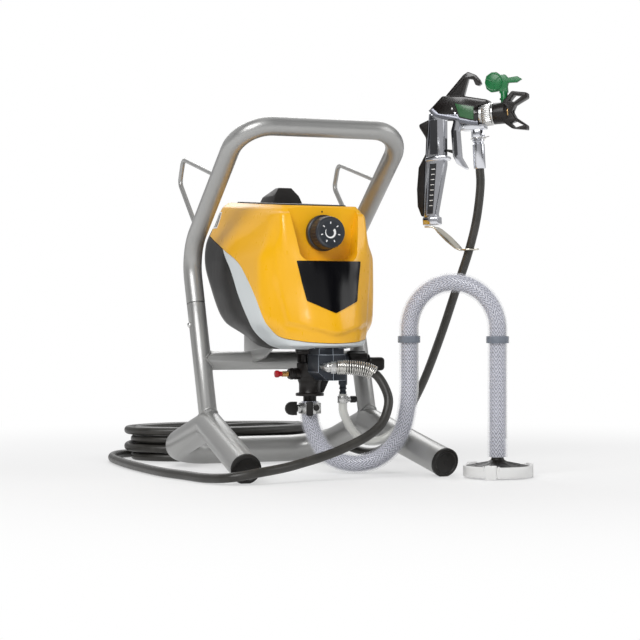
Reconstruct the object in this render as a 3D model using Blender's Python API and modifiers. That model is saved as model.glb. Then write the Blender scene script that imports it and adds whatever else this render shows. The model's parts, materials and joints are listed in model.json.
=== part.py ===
"""Airless paint sprayer on a tube stand, with its hoses, suction filter and spray gun.

Lengths are in metres, +Z is up and the front of the machine faces -Y.  The design
frame has its origin on the floor midway between the two uprights.  A root empty
shifts it, so that the finished part's origin lies under the middle of its box.
"""

import math
from collections import namedtuple

import bmesh
import bpy
from mathutils import Matrix, Vector

# ---------------------------------------------------------------- common sizes
GAP = 0.0003                 # clearance left between touching pieces
RUNNING_GAP = 0.0003         # radial clearance of pins, shafts and plungers
WELD = 0.00001               # distance under which loose caps are welded
SMOOTH_ANGLE = math.radians(32)
ROUND = 18                   # sides of an ordinary round piece
SMALL_ROUND = 12             # sides of a small round piece

PART_CENTRE_X = 0.07224      # middle of the part's box in the design frame
PART_CENTRE_Y = -0.00833

# ---------------------------------------------------------------- stand
FLOOR_TUBE_RADIUS = 0.0190
UPRIGHT_RADIUS = 0.0127
UPRIGHT_WALL = 0.0016
SWAGE_LENGTH = 0.046         # reduced end of the handle frame inside an upright
FRAME_HALF_WIDTH = 0.1186
APEX_HEIGHT = 0.0647         # where an upright meets its two floor tubes
REAR_BAR_Y = 0.1614
REAR_SPREAD = 0.0030         # how far the rear bar's ends stand outside the apex
REAR_BEND_RADIUS = 0.060
FOOT_Y = -0.1858
FOOT_SPLAY = 0.0218
BEND_Y = 0.0736              # where an upright turns forward into the handle
BEND_HEIGHT = 0.2993
BEND_RADIUS = 0.060
HANDLE_Y = -0.1127
HANDLE_HEIGHT = 0.4590
HANDLE_RADIUS = 0.047
SPLIT_HEIGHT = 0.2270        # joint between lower upright and handle frame
SNAP_DROP = 0.0280           # how far the snap button sits below that joint
SNAP_HEIGHT = SPLIT_HEIGHT - SNAP_DROP
SNAP_RADIUS = 0.0040
SNAP_PROUD = 0.0030
SNAP_TRAVEL = 0.0050
CROSSBAR_HEIGHT = 0.1503
CAP_LENGTH = 0.0060
CAP_OVERSIZE = 0.0006
CAP_PLUG_LENGTH = 0.0180
CAP_PLUG_RADIUS = 0.0150
HANGER_RADIUS = 0.00325
HANGER_BEND = 0.012
# A hanger's corners: along the handle's side tube from its lower bend, and square off it.
HANGER_CORNERS = ((0.1469, 0.0014), (0.0643, 0.1171), (0.0322, 0.1011), (0.0404, 0.0032))
BRACKET_X = 0.0480
BRACKET_THICKNESS = 0.0040

# ---------------------------------------------------------------- levels, from the pump block up
BLOCK_TOP = 0.1980
MODULE = 0.0020
PINION_TEETH = 8
GEAR_TEETH = 32
GEAR_BACKLASH = 0.0003
GEAR_TIP_RADIUS = MODULE * (GEAR_TEETH / 2 + 0.62)
GEAR_TO_BLOCK = 0.00346      # from the pump block up to the drive gear's teeth
GEAR_HEIGHT = BLOCK_TOP + GEAR_TO_BLOCK + GEAR_TIP_RADIUS
ARMATURE_HEIGHT = GEAR_HEIGHT + MODULE * (PINION_TEETH + GEAR_TEETH) / 2 + GEAR_BACKLASH
MOTOR_RADIUS = 0.0420
PLATE_MARGIN = 0.0020        # how far the gearbox plate stands out round the motor
BOARD_TO_DRIVE = 0.0120
BOARD_HEIGHT = ARMATURE_HEIGHT + MOTOR_RADIUS + PLATE_MARGIN + BOARD_TO_DRIVE
KNOB_TO_BOARD = 0.0105       # from the knob's axis up to the board that carries its control
KNOB_HEIGHT = BOARD_HEIGHT - KNOB_TO_BOARD

# ---------------------------------------------------------------- housing
WALL = 0.0030
HOUSING_TOP = KNOB_HEIGHT + 0.0435
TOP_TILT = 0.07              # rise of the housing's top per unit of depth
TOP_TILT_FROM = HOUSING_TOP - 0.0140   # slices from this height up follow the tilt
POCKET_Y = -0.1070           # floor of the knob pocket
POCKET_BOTTOM = KNOB_HEIGHT - 0.0355
POCKET_TOP_HALF_WIDTH = 0.0545
POCKET_LOW_HALF_WIDTH = 0.0400
POCKET_CORNER = 0.0120
BADGE_PROUD = 0.0010
HUMP_HALF_WIDTH = 0.0210
HUMP_FRONT_Y = 0.0070
HUMP_BACK_Y = 0.0610
HUMP_TOP = HOUSING_TOP + 0.0240

KNOB_BASE_RADIUS = 0.0240
KNOB_FACE_RADIUS = 0.0212
KNOB_LENGTH = 0.0285
SPINDLE_RADIUS = 0.0030
GLAND_X = 0.0480
GLAND_HEIGHT = KNOB_HEIGHT - 0.0305
GLAND_NECK_RADIUS = 0.0065
GLAND_HOLE_RADIUS = 0.0071

# ---------------------------------------------------------------- drive
PISTON_Y = -0.0670
MOTOR_LENGTH = 0.1100
MOTOR_WALL = 0.0030
SHAFT_RADIUS = 0.0040
PLATE_THICKNESS = 0.0060
GEAR_THICKNESS = 0.0080
CRANK_THROW = 0.0060
CRANK_PIN_RADIUS = 0.0030
PLUNGER_RADIUS = 0.0050
PLUNGER_TRAVEL = 0.0060
YOKE_THICKNESS = 0.0080
YOKE_FRAME = 0.0040
JOURNAL_RADIUS = 0.0050
PLATE_Y = -0.0430            # middle of the gearbox plate
GEAR_Y = -0.0520             # middle of the gears
YOKE_Y = PISTON_Y
FAN_Y = 0.0755
PLUNGER_BOTTOM = 0.1500

# ---------------------------------------------------------------- pump
BLOCK_LEFT = -0.0130
BLOCK_RIGHT = 0.0260
BLOCK_NOSE_X = 0.0050
BLOCK_NOSE_Y = -0.1330
BLOCK_SHOULDER_Y = -0.1250
BLOCK_BOTTOM = 0.1260
BLOCK_STEP = 0.1600
BLOCK_BRIDGE_BOTTOM = 0.1680
BLOCK_FRONT_DEPTH = 0.0350
BLOCK_BACK_Y = -0.0380
BLOCK_CHAMFER = 0.0110
INLET_RADIUS = 0.0175
INLET_FLANGE_RADIUS = 0.0195
INLET_BOTTOM = 0.1040
BARB_END = INLET_BOTTOM - 0.0240
BARB_RADIUS = 0.0088
PUSHER_HEIGHT = 0.1339
PUSHER_TRAVEL = 0.0040
PUSHER_FACE_X = -0.0310
PUSHER_BUTTON_X = -0.0410
PUSHER_INNER_X = -0.0130
PUSHER_STEM_RADIUS = 0.0025
OUTLET_ELBOW = (-0.0070, -0.1450, 0.1440)
OUTLET_DIRECTION = (0.93, -0.33, 0.0)
OUTLET_NUT_END = 0.0095
RELIEF_Y = -0.1000
RELIEF_FACE_X = 0.0395
RELIEF_HEIGHT = 0.1530
RELIEF_RADIUS = 0.0080
RELIEF_KNOB_RADIUS = 0.0115
RELIEF_KNOB_LENGTH = 0.0310
RETURN_X = 0.0323
RETURN_Y = -0.1030
RETURN_TOP = 0.1070
SUCTION_TOP = 0.0970
SUCTION_CLAMP_HEIGHT = 0.0876
RETURN_CLAMP_HEIGHT = 0.1000
LUG_REACH = 0.0040           # how far a clamp's lug stands out of its band
SCREW_RADIUS = 0.0020

# ---------------------------------------------------------------- hoses
PRESSURE_RADIUS = 0.0060
SUCTION_RADIUS = 0.01325
SUCTION_BORE = 0.0095
RETURN_RADIUS = 0.0058
COIL_CENTRE = (0.0040, 0.2730)
COIL_HALF_LENGTH = 0.1450
COIL_HALF_WIDTH = 0.0880
COIL_LAYERS = 4
COIL_TURNS_PER_LAYER = 2
COIL_EXTRA_TURN = 0.236
COIL_START_ANGLE = math.radians(115)
COIL_CLEARANCE = 0.0019      # between loops of a layer
COIL_LAYER_GAP = 0.0006      # between layers
COIL_POINTS_PER_TURN = 24
HOSE_LEAD = 0.0080           # straight length where a hose meets a fitting
LEFT_RISER = (0.1101, -0.1441)
RIGHT_RISER = (0.1955, -0.2315)
ARCH_SPRING = 0.1940
RETURN_SHIFT = (0.0150, 0.0147, 0.0)
RETURN_BARE_END = 0.0500
CLIP_HEIGHT = 0.1800
GUARD_WIRE_RADIUS = 0.0010
GUARD_MEAN_RADIUS = 0.0087
GUARD_CURLS = 12
GUARD_LENGTH = 0.0540
GUARD_POINTS_PER_CURL = 8

# ---------------------------------------------------------------- suction filter
FILTER_X, FILTER_Y = RIGHT_RISER
FILTER_RADIUS = 0.0450
FILTER_HOSE_END = 0.0270
FILTER_SPIGOT_TOP = 0.0610
FILTER_SPIGOT_RADIUS = 0.0088

# ---------------------------------------------------------------- spray gun
GUN_LOCATION = (0.2490, -0.0810, 0.4130)
GUN_YAW = math.radians(-43.98)
GUN_PITCH = math.radians(-3.0)
BARREL_HEIGHT = 0.0764
HEAD_HALF_THICKNESS = 0.0120
HANDLE_HALF_THICKNESS = 0.0095
NUT_RADIUS = 0.0160
NUT_BACK = 0.0070
NUT_FRONT = 0.0270
GUARD_BACK = 0.0275          # rear face of the tip guard
NIPPLE_RADIUS = 0.0070
BARREL_RADIUS = 0.0118
TIP_A = 0.0420               # distance of the spray tip's stem along the barrel
TIP_SEAT = 0.0700
TIP_STEM_RADIUS = 0.0050
TRIGGER_PIVOT = (-0.0270, 0.0800)
TRIGGER_HALF_WIDTH = 0.0060
LOCK_HALF_THICKNESS = 0.0035
LOCK_PIVOT = (-0.0305, 0.0275)
FERRULE_A = 0.0020
FERRULE_RADIUS = 0.0083
FERRULE_BOTTOM = 0.0018
RING_A = -0.0190
RING_B = -0.1090
RING_RADIUS = 0.0135
RING_BORE = 0.0085
STRAP_THICKNESS = 0.0020

Finish = namedtuple("Finish", "name colour metallic roughness")

SILVER_PAINT = Finish("silver_paint", (0.56, 0.56, 0.55), 0.6, 0.38)
BLACK_PLASTIC = Finish("black_plastic", (0.020, 0.019, 0.018), 0.0, 0.45)
YELLOW = Finish("yellow_plastic", (0.95, 0.52, 0.02), 0.0, 0.35)
TRIM_GREY = Finish("trim_grey", (0.42, 0.45, 0.47), 0.0, 0.40)
SHELL_GREY = Finish("shell_grey", (0.07, 0.065, 0.065), 0.0, 0.45)
SLATE = Finish("slate_paint", (0.06, 0.075, 0.10), 0.4, 0.35)
STEEL = Finish("steel", (0.55, 0.55, 0.56), 1.0, 0.30)
CHROME = Finish("chrome", (0.80, 0.80, 0.82), 1.0, 0.10)
RED = Finish("red_plastic", (0.45, 0.01, 0.02), 0.0, 0.40)
RUBBER = Finish("hose_rubber", (0.045, 0.042, 0.038), 0.0, 0.50)
CLEAR_HOSE = Finish("clear_hose", (0.72, 0.73, 0.80), 0.0, 0.25)
WHITE_PLASTIC = Finish("white_plastic", (0.85, 0.85, 0.84), 0.0, 0.40)
GREEN = Finish("green_plastic", (0.01, 0.25, 0.07), 0.0, 0.40)
CIRCUIT = Finish("circuit_board", (0.02, 0.15, 0.05), 0.0, 0.50)
COPPER = Finish("copper", (0.60, 0.25, 0.12), 1.0, 0.40)

X_AXIS = Vector((1, 0, 0))
Y_AXIS = Vector((0, 1, 0))
Z_AXIS = Vector((0, 0, 1))


# ================================================================ shape helpers
def clear_scene():
    for obj in list(bpy.data.objects):
        bpy.data.objects.remove(obj, do_unlink=True)


def new_collection(name):
    collection = bpy.data.collections.new(name)
    bpy.context.scene.collection.children.link(collection)
    return collection


def adopt(data, name="blank"):
    """Make an object in the work collection from a mesh or a curve."""
    obj = bpy.data.objects.new(name, data)
    bpy.data.collections["work"].objects.link(obj)
    return obj


def from_bmesh(bm, matrix=None):
    if matrix is not None:
        bm.transform(matrix)
    mesh = bpy.data.meshes.new("blank")
    bm.to_mesh(mesh)
    bm.free()
    return adopt(mesh)


def bake(obj):
    """Replace an object by a plain mesh of its evaluated shape, in the same place."""
    bpy.context.view_layer.update()
    graph = bpy.context.evaluated_depsgraph_get()
    mesh = bpy.data.meshes.new_from_object(obj.evaluated_get(graph))
    bm = bmesh.new()
    bm.from_mesh(mesh)
    bmesh.ops.remove_doubles(bm, verts=bm.verts, dist=WELD)
    bm.transform(obj.matrix_world)
    bm.to_mesh(mesh)
    bm.free()
    bpy.data.objects.remove(obj, do_unlink=True)
    return adopt(mesh)


def aim(start, direction):
    """Matrix that carries local +Z onto a direction and the origin onto a start point."""
    turn = Vector(direction).normalized().to_track_quat("Z", "Y").to_matrix().to_4x4()
    return Matrix.Translation(Vector(start)) @ turn


def box(low, high):
    low, high = Vector(low), Vector(high)
    bm = bmesh.new()
    bmesh.ops.create_cube(bm, size=1.0)
    size = high - low
    matrix = Matrix.Translation((low + high) / 2) @ Matrix.Diagonal((size.x, size.y, size.z, 1.0))
    return from_bmesh(bm, matrix)


def cylinder(start, end, radius, end_radius=None, sides=ROUND):
    start, end = Vector(start), Vector(end)
    length = (end - start).length
    bm = bmesh.new()
    bmesh.ops.create_cone(bm, cap_ends=True, segments=sides, radius1=radius,
                          radius2=radius if end_radius is None else end_radius, depth=length)
    lift = Matrix.Translation((0, 0, length / 2))
    return from_bmesh(bm, aim(start, end - start) @ lift)


def ball(centre, radius, sides=SMALL_ROUND):
    bm = bmesh.new()
    bmesh.ops.create_uvsphere(bm, u_segments=sides, v_segments=sides // 2, radius=radius)
    return from_bmesh(bm, Matrix.Translation(centre))


def turned(profile, start, axis, steps=ROUND):
    """Turn a profile of (radius, height) points about an axis.

    The points run down the outer side, from the top to the bottom; a profile that
    doesn't touch the axis comes back up its inner side and closes on itself.
    """
    bm = bmesh.new()
    verts = [bm.verts.new((radius, 0.0, height)) for radius, height in profile]
    pairs = list(zip(verts, verts[1:]))
    if min(radius for radius, _ in profile) > 0.0:
        pairs.append((verts[-1], verts[0]))
    for first, second in pairs:
        bm.edges.new((first, second))
    obj = from_bmesh(bm)
    screw = obj.modifiers.new("turn", "SCREW")
    screw.steps = steps
    screw.render_steps = steps
    screw.use_merge_vertices = True
    screw.merge_threshold = WELD
    obj.matrix_world = aim(start, axis)
    return bake(obj)


def plate(outline, thickness, matrix=None):
    """Extrude a flat outline, centred on its plane; the matrix carries XY to that plane."""
    curve = bpy.data.curves.new("outline", "CURVE")
    curve.dimensions = "2D"
    curve.fill_mode = "BOTH"
    curve.extrude = thickness / 2
    spline = curve.splines.new("POLY")
    spline.points.add(len(outline) - 1)
    for point, (x, y) in zip(spline.points, outline):
        point.co = (x, y, 0.0, 1.0)
    spline.use_cyclic_u = True
    obj = adopt(curve)
    if matrix is not None:
        obj.matrix_world = matrix
    return bake(obj)


def side_plane(x):
    """Matrix for an outline given as (y, z) in a plane square to X."""
    return Matrix(((0, 0, 1, x), (1, 0, 0, 0), (0, 1, 0, 0), (0, 0, 0, 1)))


def front_plane(y):
    """Matrix for an outline given as (x, z) in a plane square to Y."""
    return Matrix(((1, 0, 0, 0), (0, 0, -1, y), (0, 1, 0, 0), (0, 0, 0, 1)))


def tube(points, radius, resolution=4):
    """A round rod along points, closed at both ends."""
    curve = bpy.data.curves.new("tube", "CURVE")
    curve.dimensions = "3D"
    curve.bevel_depth = radius
    curve.bevel_resolution = resolution
    curve.use_fill_caps = True
    spline = curve.splines.new("POLY")
    spline.points.add(len(points) - 1)
    for point, place in zip(spline.points, points):
        point.co = (*place, 1.0)
    return bake(adopt(curve))


def combine(target, others, operation):
    """Join, cut or intersect a mesh with others and remove them."""
    for other in others:
        modifier = target.modifiers.new("combine", "BOOLEAN")
        modifier.operation = operation
        modifier.solver = "EXACT"
        modifier.object = other
    result = bake(target)
    for other in others:
        bpy.data.objects.remove(other, do_unlink=True)
    return result


def unite(target, *others):
    return combine(target, others, "UNION")


def carve(target, *others):
    return combine(target, others, "DIFFERENCE")


def common(target, *others):
    return combine(target, others, "INTERSECT")


def copy_of(obj):
    return adopt(obj.data.copy())


def slice_off(obj, point, normal):
    """Cut a closed mesh by a plane, drop the side the normal points to and close the cut."""
    bm = bmesh.new()
    bm.from_mesh(obj.data)
    cut = bmesh.ops.bisect_plane(bm, geom=bm.verts[:] + bm.edges[:] + bm.faces[:], dist=WELD,
                                 plane_co=Vector(point), plane_no=Vector(normal), clear_outer=True)
    edges = [item for item in cut["geom_cut"] if isinstance(item, bmesh.types.BMEdge)]
    bmesh.ops.edgeloop_fill(bm, edges=edges)
    bmesh.ops.recalc_face_normals(bm, faces=bm.faces)
    bm.to_mesh(obj.data)
    bm.free()
    return obj


def chamfer(obj, width, angle=math.radians(40), segments=1):
    bevel = obj.modifiers.new("edges", "BEVEL")
    bevel.width = width
    bevel.segments = segments
    bevel.limit_method = "ANGLE"
    bevel.angle_limit = angle
    bevel.use_clamp_overlap = True
    return bake(obj)


def mirrored(points):
    return [(-x, *rest) for x, *rest in points]


def grown(outline, distance):
    """Offset a closed outline outward by a distance, whichever way it runs."""
    count = len(outline)
    area = sum(outline[i][0] * outline[(i + 1) % count][1] - outline[(i + 1) % count][0] * outline[i][1]
               for i in range(count))
    side = 1.0 if area > 0 else -1.0
    result = []
    for index in range(count):
        before = Vector(outline[index - 1])
        here = Vector(outline[index])
        after = Vector(outline[(index + 1) % count])
        first = (here - before).normalized()
        second = (after - here).normalized()
        normal = Vector((first.y + second.y, -first.x - second.x)) * side
        normal.normalize()
        lean = max(0.35, normal.dot(Vector((second.y, -second.x)) * side))
        result.append(tuple(here + normal * (distance / lean)))
    return result


def rounded_path(corners, radius, steps=4):
    """Straight runs between corners, joined by arcs of one radius, as a bent tube has them."""
    points = [Vector(corners[0])]
    for before, corner, after in zip(corners, corners[1:], corners[2:]):
        corner = Vector(corner)
        into = (corner - Vector(before)).normalized()
        out = (Vector(after) - corner).normalized()
        turn = into.angle(out)
        cutback = radius * math.tan(turn / 2)
        inward = (out - into).normalized()
        centre = corner + inward * (radius / math.cos(turn / 2))
        axis = into.cross(out).normalized()
        arm = corner - into * cutback - centre
        for step in range(steps + 1):
            points.append(centre + Matrix.Rotation(turn * step / steps, 3, axis) @ arm)
    points.append(Vector(corners[-1]))
    return points


def smooth_path(route, spacing):
    """Even points along a centripetal curve through the points of a hand-laid route."""
    route = [Vector(point) for point in route]
    ends = [route[0] * 2 - route[1], *route, route[-1] * 2 - route[-2]]
    dense = []
    for p0, p1, p2, p3 in zip(ends, ends[1:], ends[2:], ends[3:]):
        t1 = max((p1 - p0).length, 1e-6) ** 0.5
        t2 = t1 + max((p2 - p1).length, 1e-6) ** 0.5
        t3 = t2 + max((p3 - p2).length, 1e-6) ** 0.5
        for step in range(16):
            t = t1 + (t2 - t1) * step / 16
            a1 = p0 * ((t1 - t) / t1) + p1 * (t / t1)
            a2 = p1 * ((t2 - t) / (t2 - t1)) + p2 * ((t - t1) / (t2 - t1))
            a3 = p2 * ((t3 - t) / (t3 - t2)) + p3 * ((t - t2) / (t3 - t2))
            b1 = a1 * ((t2 - t) / t2) + a2 * (t / t2)
            b2 = a2 * ((t3 - t) / (t3 - t1)) + a3 * ((t - t1) / (t3 - t1))
            dense.append(b1 * ((t2 - t) / (t2 - t1)) + b2 * ((t - t1) / (t2 - t1)))
    dense.append(route[-1])
    return even_points(dense, spacing)


def even_points(dense, spacing):
    lengths = [0.0]
    for first, second in zip(dense, dense[1:]):
        lengths.append(lengths[-1] + (second - first).length)
    count = max(2, round(lengths[-1] / spacing))
    points = []
    index = 0
    for step in range(count + 1):
        target = lengths[-1] * step / count
        while index < len(dense) - 2 and lengths[index + 1] < target:
            index += 1
        span = lengths[index + 1] - lengths[index]
        points.append(dense[index].lerp(dense[index + 1], (target - lengths[index]) / span))
    return points


def hose_path(route, longest=0.050, sag=0.0010):
    """Points of a laid hose: far apart where it runs straight, close where it bends."""
    dense = smooth_path(route, 0.003)
    points = [dense[0]]
    start = 0
    for end in range(2, len(dense)):
        chord = dense[end] - dense[start]
        off = max((dense[i] - dense[start]).cross(chord).length / chord.length for i in range(start + 1, end))
        if off > sag or chord.length > longest:
            start = end - 1
            points.append(dense[start])
    points.append(dense[-1])
    return points


# ================================================================ assembly helpers
def finish_material(finish):
    material = bpy.data.materials.get(finish.name)
    if material is None:
        material = bpy.data.materials.new(finish.name)
        material.use_nodes = True
        shader = material.node_tree.nodes["Principled BSDF"]
        shader.inputs["Base Color"].default_value = (*finish.colour, 1.0)
        shader.inputs["Metallic"].default_value = finish.metallic
        shader.inputs["Roughness"].default_value = finish.roughness
        material.diffuse_color = (*finish.colour, 1.0)
    return material


def add_empty(name, location=(0, 0, 0), parent=None):
    empty = bpy.data.objects.new(name, None)
    empty.empty_display_size = 0.03
    empty.location = location
    empty.parent = parent
    bpy.data.collections["airless_paint_sprayer"].objects.link(empty)
    return empty


def add_part(obj, name, finish, parent, pivot=(0, 0, 0)):
    """Name a finished shape, put its origin on its pivot and hang it in the assembly."""
    mesh = obj.data
    mesh.transform(Matrix.Translation(-Vector(pivot)))
    mesh.name = name
    mesh.materials.clear()
    mesh.materials.append(finish_material(finish))
    mesh.shade_smooth()
    mesh.set_sharp_from_angle(angle=SMOOTH_ANGLE)
    part = bpy.data.objects.new(name, mesh)
    part.location = pivot
    part.parent = parent
    bpy.data.collections["airless_paint_sprayer"].objects.link(part)
    bpy.data.objects.remove(obj, do_unlink=True)
    return part


# ================================================================ stand
def frame_points(side):
    """The main joints of the stand's tubes on one side, -1 left and +1 right."""
    x = side * FRAME_HALF_WIDTH
    return {
        "apex": Vector((x, 0.0, APEX_HEIGHT)),
        "rear": Vector((x + side * REAR_SPREAD, REAR_BAR_Y, FLOOR_TUBE_RADIUS)),
        "foot": Vector((x + side * FOOT_SPLAY, FOOT_Y, FLOOR_TUBE_RADIUS)),
        "bend": Vector((x, BEND_Y, BEND_HEIGHT)),
        "top": Vector((x, HANDLE_Y, HANDLE_HEIGHT)),
    }


def along_upright(side, height):
    points = frame_points(side)
    share = (height - APEX_HEIGHT) / (BEND_HEIGHT - APEX_HEIGHT)
    return points["apex"].lerp(points["bend"], share)


def mitre_normal(side):
    points = frame_points(side)
    back = (points["rear"] - points["apex"]).normalized()
    front = (points["foot"] - points["apex"]).normalized()
    return (back - front).normalized()


def floor_tube_cutter(side, reach=0.080):
    """Both floor tubes of one side near the apex, with clearance, to cope an upright."""
    points = frame_points(side)
    pieces = []
    for end in ("rear", "foot"):
        direction = (points[end] - points["apex"]).normalized()
        pieces.append(cylinder(points["apex"] - direction * 0.006, points["apex"] + direction * reach,
                               FLOOR_TUBE_RADIUS + GAP))
    return pieces


def upright_cutter(side):
    direction = along_upright(side, SPLIT_HEIGHT) - along_upright(side, APEX_HEIGHT)
    return cylinder(along_upright(side, APEX_HEIGHT), along_upright(side, APEX_HEIGHT) + direction,
                    UPRIGHT_RADIUS + GAP)


def handle_path():
    left, right = frame_points(-1), frame_points(1)
    start = along_upright(-1, SPLIT_HEIGHT + GAP)
    end = along_upright(1, SPLIT_HEIGHT + GAP)
    lower = rounded_path([start, left["bend"], (left["bend"] + left["top"]) / 2], BEND_RADIUS)
    crown = rounded_path([(left["bend"] + left["top"]) / 2, left["top"], right["top"],
                          (right["bend"] + right["top"]) / 2], HANDLE_RADIUS)
    upper = rounded_path([(right["bend"] + right["top"]) / 2, right["bend"], end], BEND_RADIUS)
    return lower[:-1] + crown[1:-1] + upper[1:]


def make_rear_floor_tube(root):
    left, right = frame_points(-1), frame_points(1)
    reach = 0.02
    start = left["apex"] - (left["rear"] - left["apex"]).normalized() * reach
    end = right["apex"] - (right["rear"] - right["apex"]).normalized() * reach
    obj = tube(rounded_path([start, left["rear"], right["rear"], end], REAR_BEND_RADIUS), FLOOR_TUBE_RADIUS)
    for side in (-1, 1):
        normal = mitre_normal(side)
        slice_off(obj, frame_points(side)["apex"] + normal * (GAP / 2), -normal)
    add_part(obj, "rear_floor_tube", SILVER_PAINT, root)


def make_front_leg(root, side, name):
    points = frame_points(side)
    direction = (points["foot"] - points["apex"]).normalized()
    leg = cylinder(points["apex"] - direction * 0.02, points["foot"], FLOOR_TUBE_RADIUS)
    normal = mitre_normal(side)
    slice_off(leg, points["apex"] - normal * (GAP / 2), normal)
    socket = cylinder(points["foot"] - direction * (CAP_PLUG_LENGTH + GAP), points["foot"] + direction * 0.01,
                      CAP_PLUG_RADIUS + GAP)
    add_part(carve(leg, socket), name, SILVER_PAINT, root)


def make_foot_cap(root, side, name):
    """An end cap with a plug in the tube; its underside is cut flat where it stands."""
    points = frame_points(side)
    direction = (points["foot"] - points["apex"]).normalized()
    rim = FLOOR_TUBE_RADIUS + CAP_OVERSIZE
    bevel = 0.0012
    profile = [(0.0, CAP_LENGTH - 0.0008), (rim - 0.0050, CAP_LENGTH - 0.0008), (rim - 0.0040, CAP_LENGTH),
               (rim - bevel, CAP_LENGTH), (rim, CAP_LENGTH - bevel), (rim, GAP),
               (CAP_PLUG_RADIUS, GAP), (CAP_PLUG_RADIUS, -CAP_PLUG_LENGTH), (0.0, -CAP_PLUG_LENGTH)]
    cap = turned(profile, points["foot"], direction)
    slice_off(cap, (0, 0, 0), (0, 0, -1))
    add_part(cap, name, BLACK_PLASTIC, root)


def make_lower_upright(root, side, name):
    bottom = along_upright(side, APEX_HEIGHT)
    top = along_upright(side, SPLIT_HEIGHT)
    direction = (top - bottom).normalized()
    obj = cylinder(bottom, top, UPRIGHT_RADIUS)
    bore = cylinder(top - direction * (SWAGE_LENGTH + GAP), top + direction * 0.01,
                    UPRIGHT_RADIUS - UPRIGHT_WALL)
    snap = along_upright(side, SNAP_HEIGHT)
    hole = cylinder(snap, snap + X_AXIS * side * 0.03, SNAP_RADIUS + RUNNING_GAP, sides=SMALL_ROUND)
    obj = carve(obj, *floor_tube_cutter(side), bore, hole)
    add_part(obj, name, SILVER_PAINT, root)


def make_crossbar(root, form_cutter):
    """The tube between the uprights, with the two gusset brackets that carry the housing."""
    left = along_upright(-1, CROSSBAR_HEIGHT)
    right = along_upright(1, CROSSBAR_HEIGHT)
    bar = cylinder(left, right, UPRIGHT_RADIUS)
    bar = carve(bar, upright_cutter(-1), upright_cutter(1))
    for side in (-1, 1):
        x = side * BRACKET_X
        outline = [(0.0450, 0.0120), (0.0160, -0.0020), (-0.0220, 0.0037), (-0.0580, 0.0197), (-0.0580, 0.0497),
                   (0.0450, 0.0697)]
        web = plate([(y, CROSSBAR_HEIGHT + rise) for y, rise in outline], BRACKET_THICKNESS, side_plane(x))
        bar = unite(bar, web)
    bar = carve(bar, form_cutter)
    add_part(bar, "crossbar", SILVER_PAINT, root)


def make_handle_frame(root):
    obj = tube(handle_path(), UPRIGHT_RADIUS)
    tail_radius = UPRIGHT_RADIUS - UPRIGHT_WALL - GAP
    for side in (-1, 1):
        top = along_upright(side, SPLIT_HEIGHT)
        direction = (frame_points(side)["bend"] - top).normalized()
        tail = cylinder(top - direction * SWAGE_LENGTH, top + direction * 0.006, tail_radius)
        obj = unite(obj, tail)
        snap = along_upright(side, SNAP_HEIGHT)
        depth = SNAP_TRAVEL + 0.0035
        pocket = cylinder(snap + X_AXIS * side * (tail_radius - depth - 0.004), snap + X_AXIS * side * 0.03,
                          SNAP_RADIUS + RUNNING_GAP, sides=SMALL_ROUND)
        obj = carve(obj, pocket)
    add_part(obj, "handle_frame", SILVER_PAINT, root)


def make_snap_button(root, side, name):
    snap = along_upright(side, SNAP_HEIGHT)
    outer = snap + X_AXIS * side * (UPRIGHT_RADIUS + SNAP_PROUD)
    inner = snap + X_AXIS * side * (UPRIGHT_RADIUS - UPRIGHT_WALL - 0.003)
    length = (outer - inner).length
    profile = [(0.0, length), (SNAP_RADIUS * 0.55, length - 0.0005), (SNAP_RADIUS * 0.9, length - 0.0018),
               (SNAP_RADIUS, length - 0.003), (SNAP_RADIUS, 0.0), (0.0, 0.0)]
    obj = turned(profile, inner, X_AXIS * side, SMALL_ROUND)
    add_part(obj, name, STEEL, root, pivot=snap)


def make_hose_hanger(root, side, name):
    """A bent wire loop, welded by both ends to the rear of the handle's side tube."""
    bend, top = frame_points(side)["bend"], frame_points(side)["top"]
    way = (top - bend).normalized()
    rearward = way.cross(X_AXIS)
    corners = [bend + way * along + rearward * off for along, off in HANGER_CORNERS]
    wire = tube(rounded_path(corners, HANGER_BEND, steps=3), HANGER_RADIUS, resolution=2)
    wire = carve(wire, cylinder(bend, top, UPRIGHT_RADIUS + GAP))
    add_part(wire, name, SILVER_PAINT, root)


def make_stand(root):
    make_rear_floor_tube(root)
    make_crossbar(root, housing_form(GAP))
    make_handle_frame(root)
    for side, label in ((-1, "left"), (1, "right")):
        make_front_leg(root, side, "front_leg_" + label)
        make_foot_cap(root, side, "foot_cap_" + label)
        make_lower_upright(root, side, "lower_upright_" + label)
        make_snap_button(root, side, "snap_button_" + label)
        make_hose_hanger(root, side, "hose_hanger_" + label)


# ================================================================ housing
Slice = namedtuple("Slice", "z nose vee face_w face_y cheek_w cheek_y side_w tail_w tail_y corner")

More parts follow.
